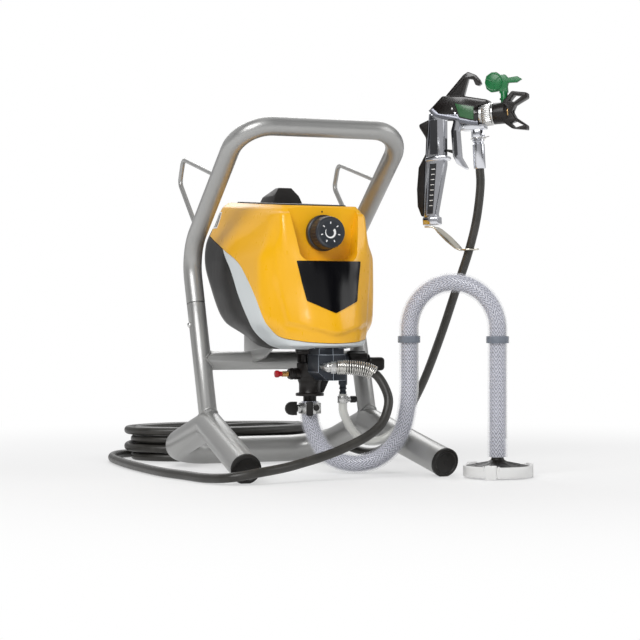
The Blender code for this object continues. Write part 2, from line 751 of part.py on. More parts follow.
# Level cuts through the housing from its underside to its top: the front's nose and its
# crease, the face's edge, the back of the front chamfer, the side, and the rear corner.
HOUSING_SLICES = (
    Slice(0.1670, -0.1180, 0.002, 0.0340, -0.1060, 0.0440, -0.0920, 0.0480, 0.0440, -0.0080, 0.012),
    Slice(0.1725, -0.1570, 0.009, 0.0540, -0.1280, 0.0590, -0.1000, 0.0610, 0.0550, 0.0000, 0.014),
    Slice(0.1860, -0.1580, 0.009, 0.0570, -0.1280, 0.0690, -0.1010, 0.0750, 0.0690, 0.0180, 0.018),
    Slice(0.2030, -0.1560, 0.009, 0.0580, -0.1260, 0.0800, -0.1010, 0.0840, 0.0840, 0.0500, 0.020),
    Slice(0.2210, -0.1510, 0.008, 0.0580, -0.1240, 0.0825, -0.0990, 0.0880, 0.0880, 0.0680, 0.020),
    Slice(0.2490, -0.1440, 0.006, 0.0575, -0.1220, 0.0835, -0.0980, 0.0900, 0.0890, 0.0910, 0.020),
    Slice(KNOB_HEIGHT - 0.0355, -0.1360, 0.002, 0.0580, -0.1210, 0.0830, -0.0980, 0.0900, 0.0880, 0.1200, 0.022),
    Slice(KNOB_HEIGHT - 0.0085, -0.1280, 0.0015, 0.0600, -0.1190, 0.0730, -0.1000, 0.0850, 0.0840, 0.1260, 0.022),
    Slice(KNOB_HEIGHT + 0.0165, -0.1200, 0.001, 0.0610, -0.1150, 0.0670, -0.0920, 0.0750, 0.0740, 0.1200, 0.020),
    Slice(HOUSING_TOP - 0.0080, -0.1130, 0.0005, 0.0580, -0.1075, 0.0620, -0.0880, 0.0680, 0.0660, 0.1060, 0.018),
    Slice(HOUSING_TOP, -0.1050, 0.0005, 0.0530, -0.1010, 0.0560, -0.0840, 0.0600, 0.0580, 0.0980, 0.016),
)

# Where the front cover ends on the side of the housing, as (y, z) from rear to front.
COVER_EDGE = ((0.1000, KNOB_HEIGHT + 0.0030), (0.0315, KNOB_HEIGHT - 0.0175), (-0.0240, KNOB_HEIGHT - 0.0365),
              (-0.0530, 0.2630), (-0.0840, 0.2310), (-0.1010, 0.1960), (-0.1060, 0.1860), (-0.1370, 0.1780),
              (-0.1900, 0.1680))
# Where the trim band ends towards the rear housing, as (y, z) from top to bottom.
TRIM_EDGE = ((0.0315, KNOB_HEIGHT - 0.0175), (-0.0010, KNOB_HEIGHT - 0.0455), (-0.0300, 0.2370),
             (-0.0540, 0.2030), (-0.0570, 0.1900), (-0.0700, 0.1720), (-0.0800, 0.1500))
# How far the regions that divide the housing reach beyond it: in front, behind, below and above.
REGION_FRONT, REGION_BACK, REGION_BELOW, REGION_ABOVE = -0.1900, 0.2000, 0.1500, HOUSING_TOP + 0.0560
TOP_OUTLINE_HALF = ((0.0, -0.0955), (0.0430, -0.0940), (0.0490, -0.0800), (0.0530, 0.0), (0.0510, 0.0700),
                    (0.0450, 0.0880), (0.0, 0.0910))
BADGE_OUTLINE_HALF = ((0.0460, POCKET_BOTTOM - 0.0020), (0.0360, 0.2305), (0.0, 0.2145))


def housing_outline(level, growth):
    """One level cut of the housing, seen from above and grown outward."""
    middle = (level.cheek_y + level.tail_y) / 2
    inset = level.corner * 0.29
    half = [(0.0, level.nose), (level.face_w * 0.63, level.nose + level.vee), (level.face_w, level.face_y),
            (level.cheek_w, level.cheek_y), (level.side_w, middle), (level.tail_w, level.tail_y - level.corner),
            (level.tail_w - inset, level.tail_y - inset), (level.tail_w - level.corner, level.tail_y),
            (0.0, level.tail_y + 0.002)]
    left = [(-x, y) for x, y in reversed(half[1:-1])]
    return grown(half + left, growth)


def housing_form(growth, levels=HOUSING_SLICES):
    """The housing's form as one closed solid, grown or, below zero, shrunk."""
    bm = bmesh.new()
    rings = []
    for level in levels:
        z = level.z
        if level is HOUSING_SLICES[0]:
            z -= growth
        elif level is HOUSING_SLICES[-1]:
            z += growth
        tilt = TOP_TILT if level.z > TOP_TILT_FROM else 0.0
        rings.append([bm.verts.new((x, y, z + tilt * y)) for x, y in housing_outline(level, growth)])
    count = len(rings[0])
    for lower, upper in zip(rings, rings[1:]):
        for index in range(count):
            following = (index + 1) % count
            bm.faces.new((lower[index], lower[following], upper[following], upper[index]))
    bm.faces.new(list(reversed(rings[0])))
    bm.faces.new(rings[-1])
    bmesh.ops.triangulate(bm, faces=bm.faces)
    bmesh.ops.recalc_face_normals(bm, faces=bm.faces)
    return from_bmesh(bm)


def pocket_cutter(growth):
    """The knob pocket: open at the front and the top, with round lower corners."""
    low, mid = POCKET_BOTTOM - growth, POCKET_BOTTOM + POCKET_CORNER
    right = [(POCKET_TOP_HALF_WIDTH + growth, HOUSING_TOP + 0.0160), (POCKET_LOW_HALF_WIDTH + growth, mid)]
    for step in (1, 2, 3):
        angle = math.radians(22.5 * step)
        right.append((POCKET_LOW_HALF_WIDTH + growth - POCKET_CORNER * (1 - math.cos(angle)),
                      mid - (POCKET_CORNER + growth) * math.sin(angle)))
    right.append((POCKET_LOW_HALF_WIDTH + growth - POCKET_CORNER, low))
    outline = right + [(-x, z) for x, z in reversed(right)]
    front, back = -0.200, POCKET_Y + growth
    return plate(outline, back - front, front_plane((front + back) / 2))


def side_region(outline):
    """A prism across the whole width over an outline of (y, z) points."""
    return plate(grown(outline, -GAP / 2), 0.4, side_plane(0.0))


def top_region(growth):
    outline = list(TOP_OUTLINE_HALF) + [(-x, y) for x, y in reversed(TOP_OUTLINE_HALF[1:-1])]
    return plate(grown(outline, growth), 0.06, Matrix.Translation((0, 0, HOUSING_TOP + 0.0080)))


def block_opening():
    """The hole in the underside that the pump block comes up through."""
    margin = 0.0008
    return box((BLOCK_LEFT - 0.008 - margin, BLOCK_NOSE_Y - margin, 0.15),
               (BLOCK_RIGHT + margin, BLOCK_BACK_Y + margin, BLOCK_TOP + 0.004))


def housing_skin():
    outer = carve(housing_form(0.0), pocket_cutter(0.0))
    inner = carve(housing_form(-WALL, HOUSING_SLICES[::2]), pocket_cutter(WALL))
    return carve(outer, inner)


def make_front_cover(root, skin):
    region = side_region([*COVER_EDGE, (REGION_FRONT, REGION_ABOVE), (COVER_EDGE[0][0], REGION_ABOVE)])
    cover = common(copy_of(skin), region)
    spindle = cylinder((0, POCKET_Y - 0.01, KNOB_HEIGHT), (0, POCKET_Y + 0.02, KNOB_HEIGHT),
                       SPINDLE_RADIUS + 0.001, sides=SMALL_ROUND)
    cover = carve(cover, top_region(GAP / 2), spindle, block_opening())
    add_part(cover, "front_cover", YELLOW, root)


def make_side_trim(root, skin):
    outline = [*COVER_EDGE[1:], (REGION_FRONT, REGION_BELOW), *reversed(TRIM_EDGE[1:])]
    trim = common(copy_of(skin), side_region(outline))
    trim = carve(trim, block_opening())
    add_part(trim, "side_trim", TRIM_GREY, root)


def make_rear_housing(root, skin):
    """The back shell with its row of cooling slots and the hole for the cable gland."""
    outline = [(COVER_EDGE[0][0], REGION_ABOVE), *COVER_EDGE[:1], *TRIM_EDGE, (REGION_BACK, REGION_BELOW),
               (REGION_BACK, REGION_ABOVE)]
    shell = common(copy_of(skin), side_region(outline))
    cutters = [block_opening()]
    slots, pitch, height = 5, 0.010, 0.0045
    for index in range(slots):
        z = POCKET_BOTTOM + 0.0010 + index * pitch
        cutters.append(box((-0.045, 0.095, z), (0.020, 0.150, z + height)))
    cutters.append(cylinder((GLAND_X, 0.08, GLAND_HEIGHT), (GLAND_X, 0.16, GLAND_HEIGHT),
                            GLAND_HOLE_RADIUS, sides=SMALL_ROUND))
    add_part(carve(shell, *cutters), "rear_housing", SHELL_GREY, root)


def make_cable_gland(root):
    """The strain relief of the supply cord, seated on the shell's sloping back."""
    seat = 0.1200
    profile = [(0.0075, 0.0240), (0.0085, 0.0080), (0.0098, 0.0075), (0.0098, 0.0), (0.0040, 0.0),
               (0.0040, 0.0240)]
    gland = turned(profile, (GLAND_X, seat, GLAND_HEIGHT), Y_AXIS, SMALL_ROUND)
    gland = carve(gland, housing_form(GAP))
    neck = turned([(GLAND_NECK_RADIUS, 0.0050), (GLAND_NECK_RADIUS, -0.0100), (0.0040, -0.0100), (0.0040, 0.0050)],
                  (GLAND_X, seat, GLAND_HEIGHT), Y_AXIS, SMALL_ROUND)
    add_part(unite(gland, neck), "cable_gland", BLACK_PLASTIC, root)


def make_top_cover(root, skin):
    lid = common(copy_of(skin), top_region(-GAP / 2))
    base = HOUSING_TOP + TOP_TILT * HUMP_FRONT_Y - 0.001
    slope_top = HUMP_TOP - 0.013
    outline = [(HUMP_FRONT_Y, base), (HUMP_BACK_Y, base + TOP_TILT * (HUMP_BACK_Y - HUMP_FRONT_Y)),
               (HUMP_BACK_Y - 0.004, slope_top), (HUMP_FRONT_Y + 0.003, HUMP_TOP)]
    hump = plate(outline, HUMP_HALF_WIDTH * 2, side_plane(0.0))
    lid = unite(lid, chamfer(hump, 0.0015))
    add_part(lid, "top_cover", SHELL_GREY, root)


def make_badge(root):
    outline = list(BADGE_OUTLINE_HALF) + [(-x, z) for x, z in reversed(BADGE_OUTLINE_HALF[:-1])]
    prism = plate(outline, 0.08, front_plane(-0.145))
    badge = common(housing_form(BADGE_PROUD), prism)
    badge = carve(badge, housing_form(GAP))
    add_part(badge, "badge_panel", BLACK_PLASTIC, root)


def make_knob(root):
    base = POCKET_Y - GAP
    length = KNOB_LENGTH
    profile = [(0.0, length), (KNOB_FACE_RADIUS - 0.0015, length), (KNOB_FACE_RADIUS, length - 0.0015),
               (KNOB_FACE_RADIUS + 0.0004, 0.0090), (KNOB_BASE_RADIUS, 0.0075), (KNOB_BASE_RADIUS, 0.0008),
               (KNOB_BASE_RADIUS - 0.0008, 0.0), (SPINDLE_RADIUS, 0.0), (SPINDLE_RADIUS, -0.0045), (0.0, -0.0045)]
    pivot = (0, base, KNOB_HEIGHT)
    add_part(turned(profile, pivot, -Y_AXIS, ROUND), "pressure_knob", SHELL_GREY, root, pivot=pivot)


def make_housing(root):
    skin = housing_skin()
    make_front_cover(root, skin)
    make_side_trim(root, skin)
    make_rear_housing(root, skin)
    make_top_cover(root, skin)
    bpy.data.objects.remove(skin, do_unlink=True)
    make_badge(root)
    make_knob(root)
    make_cable_gland(root)


# ================================================================ drive
def gear_outline(teeth, tip, root, tip_share, root_share, phase):
    """A toothed outline; the shares are half widths of a tooth as parts of the pitch angle."""
    pitch = 2 * math.pi / teeth
    points = []
    for index in range(teeth):
        middle = phase + index * pitch
        for radius, share in ((root, -root_share), (tip, -tip_share), (tip, tip_share), (root, root_share)):
            angle = middle + share * pitch
            points.append((radius * math.cos(angle), radius * math.sin(angle)))
    return points


def make_gearbox_plate(root):
    half = MOTOR_RADIUS + PLATE_MARGIN
    outline = [(-half, BLOCK_TOP + GAP), (half, BLOCK_TOP + GAP)]
    for step in range(13):
        angle = math.pi * step / 12
        outline.append((half * math.cos(angle), ARMATURE_HEIGHT + half * math.sin(angle)))
    body = plate(outline, PLATE_THICKNESS, front_plane(PLATE_Y))
    ends = PLATE_Y - 0.02, PLATE_Y + 0.02
    shaft = cylinder((0, ends[0], ARMATURE_HEIGHT), (0, ends[1], ARMATURE_HEIGHT), SHAFT_RADIUS + 0.001)
    journal = cylinder((0, ends[0], GEAR_HEIGHT), (0, ends[1], GEAR_HEIGHT), JOURNAL_RADIUS + RUNNING_GAP)
    add_part(carve(body, shaft, journal), "gearbox_plate", STEEL, root)


def make_motor_can(root):
    front = PLATE_Y + PLATE_THICKNESS / 2 + GAP
    hole = SHAFT_RADIUS + 0.0006
    inside = MOTOR_RADIUS - MOTOR_WALL
    profile = [(hole, MOTOR_LENGTH), (MOTOR_RADIUS - 0.002, MOTOR_LENGTH), (MOTOR_RADIUS, MOTOR_LENGTH - 0.002),
               (MOTOR_RADIUS, 0.0), (hole, 0.0), (hole, MOTOR_WALL), (inside, MOTOR_WALL),
               (inside, MOTOR_LENGTH - MOTOR_WALL), (hole, MOTOR_LENGTH - MOTOR_WALL)]
    can = turned(profile, (0, front, ARMATURE_HEIGHT), Y_AXIS, 20)
    add_part(can, "motor_can", STEEL, root)


def make_armature(root):
    """Shaft, core and commutator in one, with the pinion at the front end."""
    pivot = (0, PLATE_Y, ARMATURE_HEIGHT)
    core, commutator = 0.0300, 0.0140
    profile = [(0.0, 0.1225), (SHAFT_RADIUS, 0.1225), (SHAFT_RADIUS, 0.0950), (core, 0.0950), (core, 0.0300),
               (SHAFT_RADIUS, 0.0300), (SHAFT_RADIUS, 0.0240), (commutator, 0.0240), (commutator, 0.0120),
               (SHAFT_RADIUS, 0.0120), (SHAFT_RADIUS, -0.0140), (0.0, -0.0140)]
    shaft = turned(profile, pivot, Y_AXIS, 14)
    tip, foot = MODULE * (PINION_TEETH / 2 + 0.62), MODULE * (PINION_TEETH / 2 - 0.95)
    outline = gear_outline(PINION_TEETH, tip, foot, 0.10, 0.27, math.pi / 2 + math.pi / PINION_TEETH)
    pinion = plate(outline, GEAR_THICKNESS,
                   front_plane(GEAR_Y) @ Matrix.Translation((0, ARMATURE_HEIGHT, 0)))
    add_part(unite(shaft, pinion), "motor_armature", COPPER, root, pivot=pivot)


def make_fan(root):
    pivot = (0, FAN_Y, ARMATURE_HEIGHT)
    depth = 0.0065
    fan = turned([(0.0090, depth / 2), (0.0090, -depth / 2), (SHAFT_RADIUS + GAP, -depth / 2),
                  (SHAFT_RADIUS + GAP, depth / 2)], pivot, Y_AXIS, 16)
    blades = 7
    for index in range(blades):
        blade = box((0.0070, -0.0032, -0.0008), (0.0330, 0.0032, 0.0008))
        turn = Matrix.Rotation(2 * math.pi * index / blades, 4, "Y")
        pitch = Matrix.Rotation(math.radians(35), 4, "X")
        blade.data.transform(Matrix.Translation(pivot) @ turn @ pitch)
        fan = unite(fan, blade)
    add_part(fan, "cooling_fan", BLACK_PLASTIC, root, pivot=pivot)


def make_drive_gear(root):
    centre = GEAR_HEIGHT
    pivot = (0, GEAR_Y, centre)
    foot = MODULE * (GEAR_TEETH / 2 - 0.95)
    outline = gear_outline(GEAR_TEETH, GEAR_TIP_RADIUS, foot, 0.12, 0.25, math.pi / 2)
    body = plate(outline, GEAR_THICKNESS, front_plane(GEAR_Y) @ Matrix.Translation((0, centre, 0)))
    journal = cylinder((0, GEAR_Y, centre), (0, PLATE_Y + PLATE_THICKNESS / 2 - 0.0003, centre), JOURNAL_RADIUS,
                       sides=16)
    pin = cylinder((CRANK_THROW, GEAR_Y, centre), (CRANK_THROW, YOKE_Y - YOKE_THICKNESS / 2 - 0.001, centre),
                   CRANK_PIN_RADIUS, sides=SMALL_ROUND)
    add_part(unite(body, journal, pin), "drive_gear", STEEL, root, pivot=pivot)


def make_plunger(root):
    """The yoke that the crank pin drives, with the piston rod below it."""
    centre = GEAR_HEIGHT
    half_w = CRANK_THROW + CRANK_PIN_RADIUS + 0.0005
    half_h = CRANK_THROW + PLUNGER_TRAVEL + CRANK_PIN_RADIUS + 0.0005
    yoke = box((-half_w - YOKE_FRAME, YOKE_Y - YOKE_THICKNESS / 2, centre - half_h - YOKE_FRAME),
               (half_w + YOKE_FRAME, YOKE_Y + YOKE_THICKNESS / 2, centre + half_h + YOKE_FRAME))
    window = box((-half_w, YOKE_Y - 0.02, centre - half_h), (half_w, YOKE_Y + 0.02, centre + half_h))
    rod = cylinder((0, PISTON_Y, PLUNGER_BOTTOM), (0, PISTON_Y, centre - half_h - YOKE_FRAME / 2),
                   PLUNGER_RADIUS, sides=16)
    add_part(unite(carve(yoke, window), rod), "plunger", STEEL, root, pivot=(0, PISTON_Y, centre))


def make_control_board(root):
    """The circuit board under the top, with the potentiometer that the spindle turns."""
    pot_back = POCKET_Y + 0.0130
    bottom, rooted, top = BOARD_HEIGHT, BOARD_HEIGHT + 0.0010, BOARD_HEIGHT + 0.0150
    board = box((-0.0400, -0.1010, bottom), (0.0400, -0.0200, bottom + 0.0016))
    pot = box((-0.0085, POCKET_Y + 0.0048, KNOB_HEIGHT - 0.0085), (0.0085, pot_back, bottom + 0.0005))
    sink = box((-0.0350, -0.0450, rooted), (-0.0100, -0.0250, top))
    coil = cylinder((0.0200, -0.0500, rooted), (0.0200, -0.0500, top), 0.0090, sides=SMALL_ROUND)
    add_part(unite(board, pot, sink, coil), "control_board", CIRCUIT, root)


def make_drive(root):
    make_gearbox_plate(root)
    make_motor_can(root)
    make_armature(root)
    make_fan(root)
    make_drive_gear(root)
    make_plunger(root)
    make_control_board(root)


# ================================================================ pump
def make_pump_block(root):
    """The pump's metal body: a pointed front under the housing and a bridge above the piston."""
    back = BLOCK_SHOULDER_Y + BLOCK_FRONT_DEPTH
    outline = [(BLOCK_LEFT, BLOCK_SHOULDER_Y), (BLOCK_NOSE_X, BLOCK_NOSE_Y), (BLOCK_RIGHT, BLOCK_SHOULDER_Y),
               (BLOCK_RIGHT, back), (BLOCK_LEFT, back)]
    low = plate(outline, BLOCK_STEP - BLOCK_BOTTOM, Matrix.Translation((0, 0, (BLOCK_STEP + BLOCK_BOTTOM) / 2)))
    slice_off(low, (BLOCK_LEFT, 0, BLOCK_BOTTOM + BLOCK_CHAMFER), (-1, 0, -1))
    band = plate(grown(outline, -0.0015), 0.014, Matrix.Translation((0, 0, BLOCK_STEP + 0.006)))
    bridge = box((BLOCK_LEFT - 0.007, BLOCK_SHOULDER_Y - 0.003, BLOCK_BRIDGE_BOTTOM),
                 (BLOCK_RIGHT, BLOCK_BACK_Y, BLOCK_TOP))
    bore = cylinder((0, PISTON_Y, BLOCK_BRIDGE_BOTTOM - 0.01), (0, PISTON_Y, BLOCK_TOP + 0.01),
                    PLUNGER_RADIUS + RUNNING_GAP, sides=16)
    block = carve(unite(low, band, bridge), bore)
    add_part(block, "pump_block", SLATE, root)


def make_inlet_valve(root):
    """The suction valve's body, with its hose barb below and the pusher's boss on its left."""
    flange_top = BLOCK_BRIDGE_BOTTOM - GAP
    waist, neck, foot = INLET_RADIUS - 0.0035, INLET_RADIUS - 0.0030, INLET_RADIUS + 0.0015
    profile = [(0.0, flange_top), (INLET_FLANGE_RADIUS, flange_top),
               (INLET_FLANGE_RADIUS, BLOCK_BRIDGE_BOTTOM - 0.0080), (waist, BLOCK_BRIDGE_BOTTOM - 0.0105),
               (waist, PUSHER_HEIGHT + 0.0151), (INLET_RADIUS, PUSHER_HEIGHT + 0.0131),
               (INLET_RADIUS, PUSHER_HEIGHT - 0.0069), (neck, PUSHER_HEIGHT - 0.0109),
               (neck, INLET_BOTTOM + 0.0045), (foot, INLET_BOTTOM + 0.0040), (foot, INLET_BOTTOM),
               (BARB_RADIUS, INLET_BOTTOM), (BARB_RADIUS, INLET_BOTTOM - 0.0080),
               (BARB_RADIUS - 0.0010, INLET_BOTTOM - 0.0090), (BARB_RADIUS - 0.0015, BARB_END), (0.0, BARB_END)]
    body = turned(profile, (0, PISTON_Y, 0), Z_AXIS, 16)
    boss = cylinder((-0.0050, PISTON_Y, PUSHER_HEIGHT), (PUSHER_FACE_X, PISTON_Y, PUSHER_HEIGHT), 0.0078,
                    sides=16)
    body = unite(body, boss)
    well = cylinder((0, PISTON_Y, PLUNGER_BOTTOM - PLUNGER_TRAVEL - 0.001), (0, PISTON_Y, 0.2),
                    PLUNGER_RADIUS + RUNNING_GAP, sides=16)
    guide = cylinder((PUSHER_INNER_X + PUSHER_TRAVEL + 0.001, PISTON_Y, PUSHER_HEIGHT),
                     (-0.05, PISTON_Y, PUSHER_HEIGHT), PUSHER_STEM_RADIUS + RUNNING_GAP, sides=SMALL_ROUND)
    add_part(carve(body, well, guide), "inlet_valve_body", BLACK_PLASTIC, root)


def make_pusher(root):
    inner = (PUSHER_INNER_X, PISTON_Y, PUSHER_HEIGHT)
    reach = PUSHER_INNER_X - PUSHER_BUTTON_X
    profile = [(0.0, reach + 0.0095), (0.0036, reach + 0.0095), (0.0046, reach + 0.0080), (0.0046, reach + 0.0015),
               (0.0030, reach), (PUSHER_STEM_RADIUS, reach - 0.0005), (PUSHER_STEM_RADIUS, 0.0), (0.0, 0.0)]
    add_part(turned(profile, inner, -X_AXIS, SMALL_ROUND), "inlet_pusher", RED, root,
             pivot=(PUSHER_BUTTON_X, PISTON_Y, PUSHER_HEIGHT))


def make_outlet(root):
    elbow, way = Vector(OUTLET_ELBOW), Vector(OUTLET_DIRECTION).normalized()
    stub = cylinder((elbow.x, BLOCK_SHOULDER_Y + 0.01, elbow.z), elbow, 0.0056, sides=16)
    face = Vector((BLOCK_NOSE_X - BLOCK_LEFT, BLOCK_NOSE_Y - BLOCK_SHOULDER_Y, 0)).normalized()
    outward = Vector((face.y, -face.x, 0))
    slice_off(stub, Vector((BLOCK_NOSE_X, BLOCK_NOSE_Y, 0)) + outward * GAP, -outward)
    joint = ball(elbow, 0.0068)
    nut = cylinder(elbow + way * 0.0025, elbow + way * OUTLET_NUT_END, 0.0082, sides=6)
    add_part(unite(stub, joint, nut), "outlet_fitting", STEEL, root)


def make_relief_valve(parent):
    """The spray/prime valve: a body on the block's right side and the return barb below it."""
    start = (BLOCK_RIGHT + GAP, RELIEF_Y, RELIEF_HEIGHT)
    body = cylinder(start, (RELIEF_FACE_X, RELIEF_Y, RELIEF_HEIGHT), RELIEF_RADIUS, sides=16)
    root = RELIEF_HEIGHT - 0.0010 - RETURN_TOP
    profile = [(0.0, root), (0.0058, root), (0.0058, 0.0130), (0.0044, 0.0120), (0.0044, 0.0090),
               (0.0050, 0.0085), (0.0050, 0.0070), (0.0040, 0.0065), (0.0040, 0.0040), (0.0048, 0.0035),
               (0.0048, GAP), (0.0, GAP)]
    barb = turned(profile, (RETURN_X, RETURN_Y, RETURN_TOP), Z_AXIS, SMALL_ROUND)
    add_part(unite(body, barb), "relief_valve_body", SLATE, parent)


def make_relief_knob(root):
    start = Vector((RELIEF_FACE_X + GAP, RELIEF_Y, RELIEF_HEIGHT))
    hub = turned([(0.0, RELIEF_KNOB_LENGTH), (RELIEF_KNOB_RADIUS - 0.0020, RELIEF_KNOB_LENGTH),
                  (RELIEF_KNOB_RADIUS, RELIEF_KNOB_LENGTH - 0.0020), (RELIEF_KNOB_RADIUS, 0.0020),
                  (RELIEF_KNOB_RADIUS - 0.0010, 0.0), (0.0, 0.0)], start, X_AXIS, 16)
    end = start.x + RELIEF_KNOB_LENGTH
    wing = box((end - 0.004, RELIEF_Y - 0.0130, RELIEF_HEIGHT - 0.0150),
               (end + 0.0200, RELIEF_Y + 0.0060, RELIEF_HEIGHT + 0.0030))
    wing = chamfer(wing, 0.0035, segments=2)
    add_part(unite(hub, wing), "relief_knob", BLACK_PLASTIC, root, pivot=start)


def make_clamp(root, name, finish, centre, hose_radius, wall, height, lug_direction):
    """A band round a hose with a lug that the thumb screw goes into."""
    centre = Vector(centre)
    start, end = centre - Z_AXIS * height / 2, centre + Z_AXIS * height / 2
    band = cylinder(start, end, hose_radius + wall, sides=20)
    side = Vector(lug_direction)
    reach = hose_radius + wall + LUG_REACH
    lug = cylinder(centre, centre + side * reach, height * 0.36, sides=12)
    band = unite(band, lug)
    bore = cylinder(start - Z_AXIS * 0.01, end + Z_AXIS * 0.01, hose_radius + GAP, sides=20)
    hole = cylinder(centre + side * (hose_radius + wall * 0.5), centre + side * (reach + 0.01),
                    SCREW_RADIUS + RUNNING_GAP, sides=12)
    add_part(carve(band, bore, hole), name, finish, root)


def make_clamps(root):
    make_clamp(root, "suction_clamp", STEEL, (0, PISTON_Y, SUCTION_CLAMP_HEIGHT), SUCTION_RADIUS, 0.0019, 0.0140,
               (-1, 0, 0))
    reach = SUCTION_RADIUS + 0.0019 + LUG_REACH
    start = Vector((-reach - GAP, PISTON_Y, SUCTION_CLAMP_HEIGHT))
    centre = start.x - 0.0070, start.z
    outline = [(start.x, centre[1] - 0.0090), (start.x, centre[1] + 0.0090)]
    for step in range(9):
        angle = math.pi / 2 + math.pi * step / 8
        outline.append((centre[0] + 0.0090 * math.cos(angle), centre[1] + 0.0090 * math.sin(angle)))
    thumb = plate(outline, 0.0050, front_plane(PISTON_Y))
    shank = cylinder(start - X_AXIS * 0.004, start + X_AXIS * (LUG_REACH + 0.0006), SCREW_RADIUS, sides=12)
    add_part(unite(thumb, shank), "suction_clamp_screw", BLACK_PLASTIC, root, pivot=start)

    make_clamp(root, "return_clamp", STEEL, (RETURN_X, RETURN_Y, RETURN_CLAMP_HEIGHT), RETURN_RADIUS, 0.0014,
               0.0090, (1, 0, 0))
    reach = RETURN_RADIUS + 0.0014 + LUG_REACH
    start = Vector((RETURN_X + reach + GAP, RETURN_Y, RETURN_CLAMP_HEIGHT))
    profile = [(0.0, 0.0080), (0.0037, 0.0080), (0.0045, 0.0070), (0.0045, 0.0), (SCREW_RADIUS, 0.0),
               (SCREW_RADIUS, -LUG_REACH - 0.0004), (0.0, -LUG_REACH - 0.0004)]
    add_part(turned(profile, start, X_AXIS, SMALL_ROUND), "return_clamp_screw", BLACK_PLASTIC, root, pivot=start)


def make_pump(root):
    make_pump_block(root)
    make_inlet_valve(root)
    make_pusher(root)
    make_outlet(root)
    make_relief_valve(root)
    make_relief_knob(root)
    make_clamps(root)


# ================================================================ hoses
# Points that each hose was laid through, in the design frame.
PUMP_RUN = ((0.0100, -0.1520, 0.1443), (0.0180, -0.1568, 0.1438), (0.0280, -0.1612, 0.1428),
            (0.0358, -0.1647, 0.1413), (0.0445, -0.1680, 0.1378), (0.0510, -0.1704, 0.1327),
            (0.0577, -0.1777, 0.1187), (0.0604, -0.1844, 0.1021), (0.0546, -0.1895, 0.0844),
            (0.0443, -0.1936, 0.0701), (0.0247, -0.1958, 0.0564), (0.0011, -0.1963, 0.0455),
            (-0.0218, -0.1970, 0.0370), (-0.0445, -0.1979, 0.0303), (-0.0677, -0.1985, 0.0246),
            (-0.0926, -0.2038, 0.0199), (-0.1343, -0.2127, 0.0150), (-0.1660, -0.2030, 0.0095),
            (-0.1830, -0.1640, 0.0066), (-0.1920, -0.1050, 0.0064), (-0.2000, -0.0450, 0.0064),
            (-0.1990, 0.0500, 0.0064), (-0.1900, 0.1596, 0.0064), (-0.1720, 0.2560, 0.0064),
            (-0.1420, 0.3150, 0.0064), (-0.1050, 0.3380, 0.0062))
GUN_RUN = ((0.1500, 0.2970, 0.0400), (0.1750, 0.2700, 0.0280), (0.2000, 0.2450, 0.0130),
           (0.2160, 0.2200, 0.0068), (0.2245, 0.1850, 0.0100), (0.2270, 0.1300, 0.0390), (0.2265, 0.0800, 0.0820),
           (0.2260, 0.0376, 0.1220), (0.2250, -0.0170, 0.1870), (0.2280, -0.0510, 0.2430))
SUCTION_DROP = ((0.0017, -0.0675, 0.0660), (0.0066, -0.0708, 0.0500), (0.0172, -0.0776, 0.0300),
                (0.0327, -0.0867, 0.0180), (0.0530, -0.0990, 0.0137), (0.0754, -0.1122, 0.0190),
                (0.0945, -0.1262, 0.0377), (0.1043, -0.1371, 0.0621), (0.1089, -0.1424, 0.0915))
RETURN_DROP = ((0.0325, -0.1028, 0.0860), (0.0360, -0.1015, 0.0770), (0.0450, -0.1000, 0.0620),
               (0.0620, -0.0990, 0.0460), (0.0850, -0.1030, 0.0440), (0.1060, -0.1120, 0.0580),
               (0.1200, -0.1230, 0.0830))


def coil_point(turns):
    """A point of the wound pile: it spirals in and out and climbs a layer at each reversal."""
    per_layer = COIL_TURNS_PER_LAYER
    layer = min(int(turns // per_layer), COIL_LAYERS - 1)
    along = turns - layer * per_layer
    inward = along if layer % 2 == 0 else per_layer - along
    pitch = 2 * PRESSURE_RADIUS + COIL_CLEARANCE
    rise = 2 * PRESSURE_RADIUS + COIL_LAYER_GAP
    height = PRESSURE_RADIUS
    for step in range(1, COIL_LAYERS):
        share = min(1.0, max(0.0, (turns - step * per_layer + 0.25) / 0.5))
        height += rise * share * share * (3 - 2 * share)
    angle = COIL_START_ANGLE - 2 * math.pi * turns
    return Vector((COIL_CENTRE[0] + (COIL_HALF_LENGTH - inward * pitch) * math.cos(angle),
                   COIL_CENTRE[1] + (COIL_HALF_WIDTH - inward * pitch) * math.sin(angle), height))


def coil_points():
    """The whole wound length, with a straight lead of one diameter at either end."""
    turns = COIL_LAYERS * COIL_TURNS_PER_LAYER + COIL_EXTRA_TURN
    count = round(turns * COIL_POINTS_PER_TURN)
    points = [coil_point(turns * index / count) for index in range(count + 1)]
    first = (points[0] - points[1]).normalized()
    last = (points[-1] - points[-2]).normalized()
    lead = 2 * PRESSURE_RADIUS
    return [points[0] + first * lead, *points, points[-1] + last * lead]


def least_gap(points, radius, apart):
    """The least clearance between stretches of one tube that lie further apart along it."""
    least = 1.0
    steps = list(zip(points, points[1:]))
    lengths = [0.0]
    for first, second in steps:
        lengths.append(lengths[-1] + (second - first).length)
    for i, (a, b) in enumerate(steps):
        for j in range(i + 1, len(steps)):
            if lengths[j] - lengths[i + 1] < apart:
                continue
            c, d = steps[j]
            if (a - c).length - (b - a).length - (d - c).length > least:
                continue
            for share in (0.0, 0.25, 0.5, 0.75, 1.0):
                spot = a.lerp(b, share)
                line = d - c
                along = min(1.0, max(0.0, (spot - c).dot(line) / line.length_squared))
                least = min(least, (spot - c - line * along).length)
    return least - 2 * radius


def outlet_end():
    elbow, way = Vector(OUTLET_ELBOW), Vector(OUTLET_DIRECTION).normalized()
    return elbow + way * OUTLET_NUT_END, way


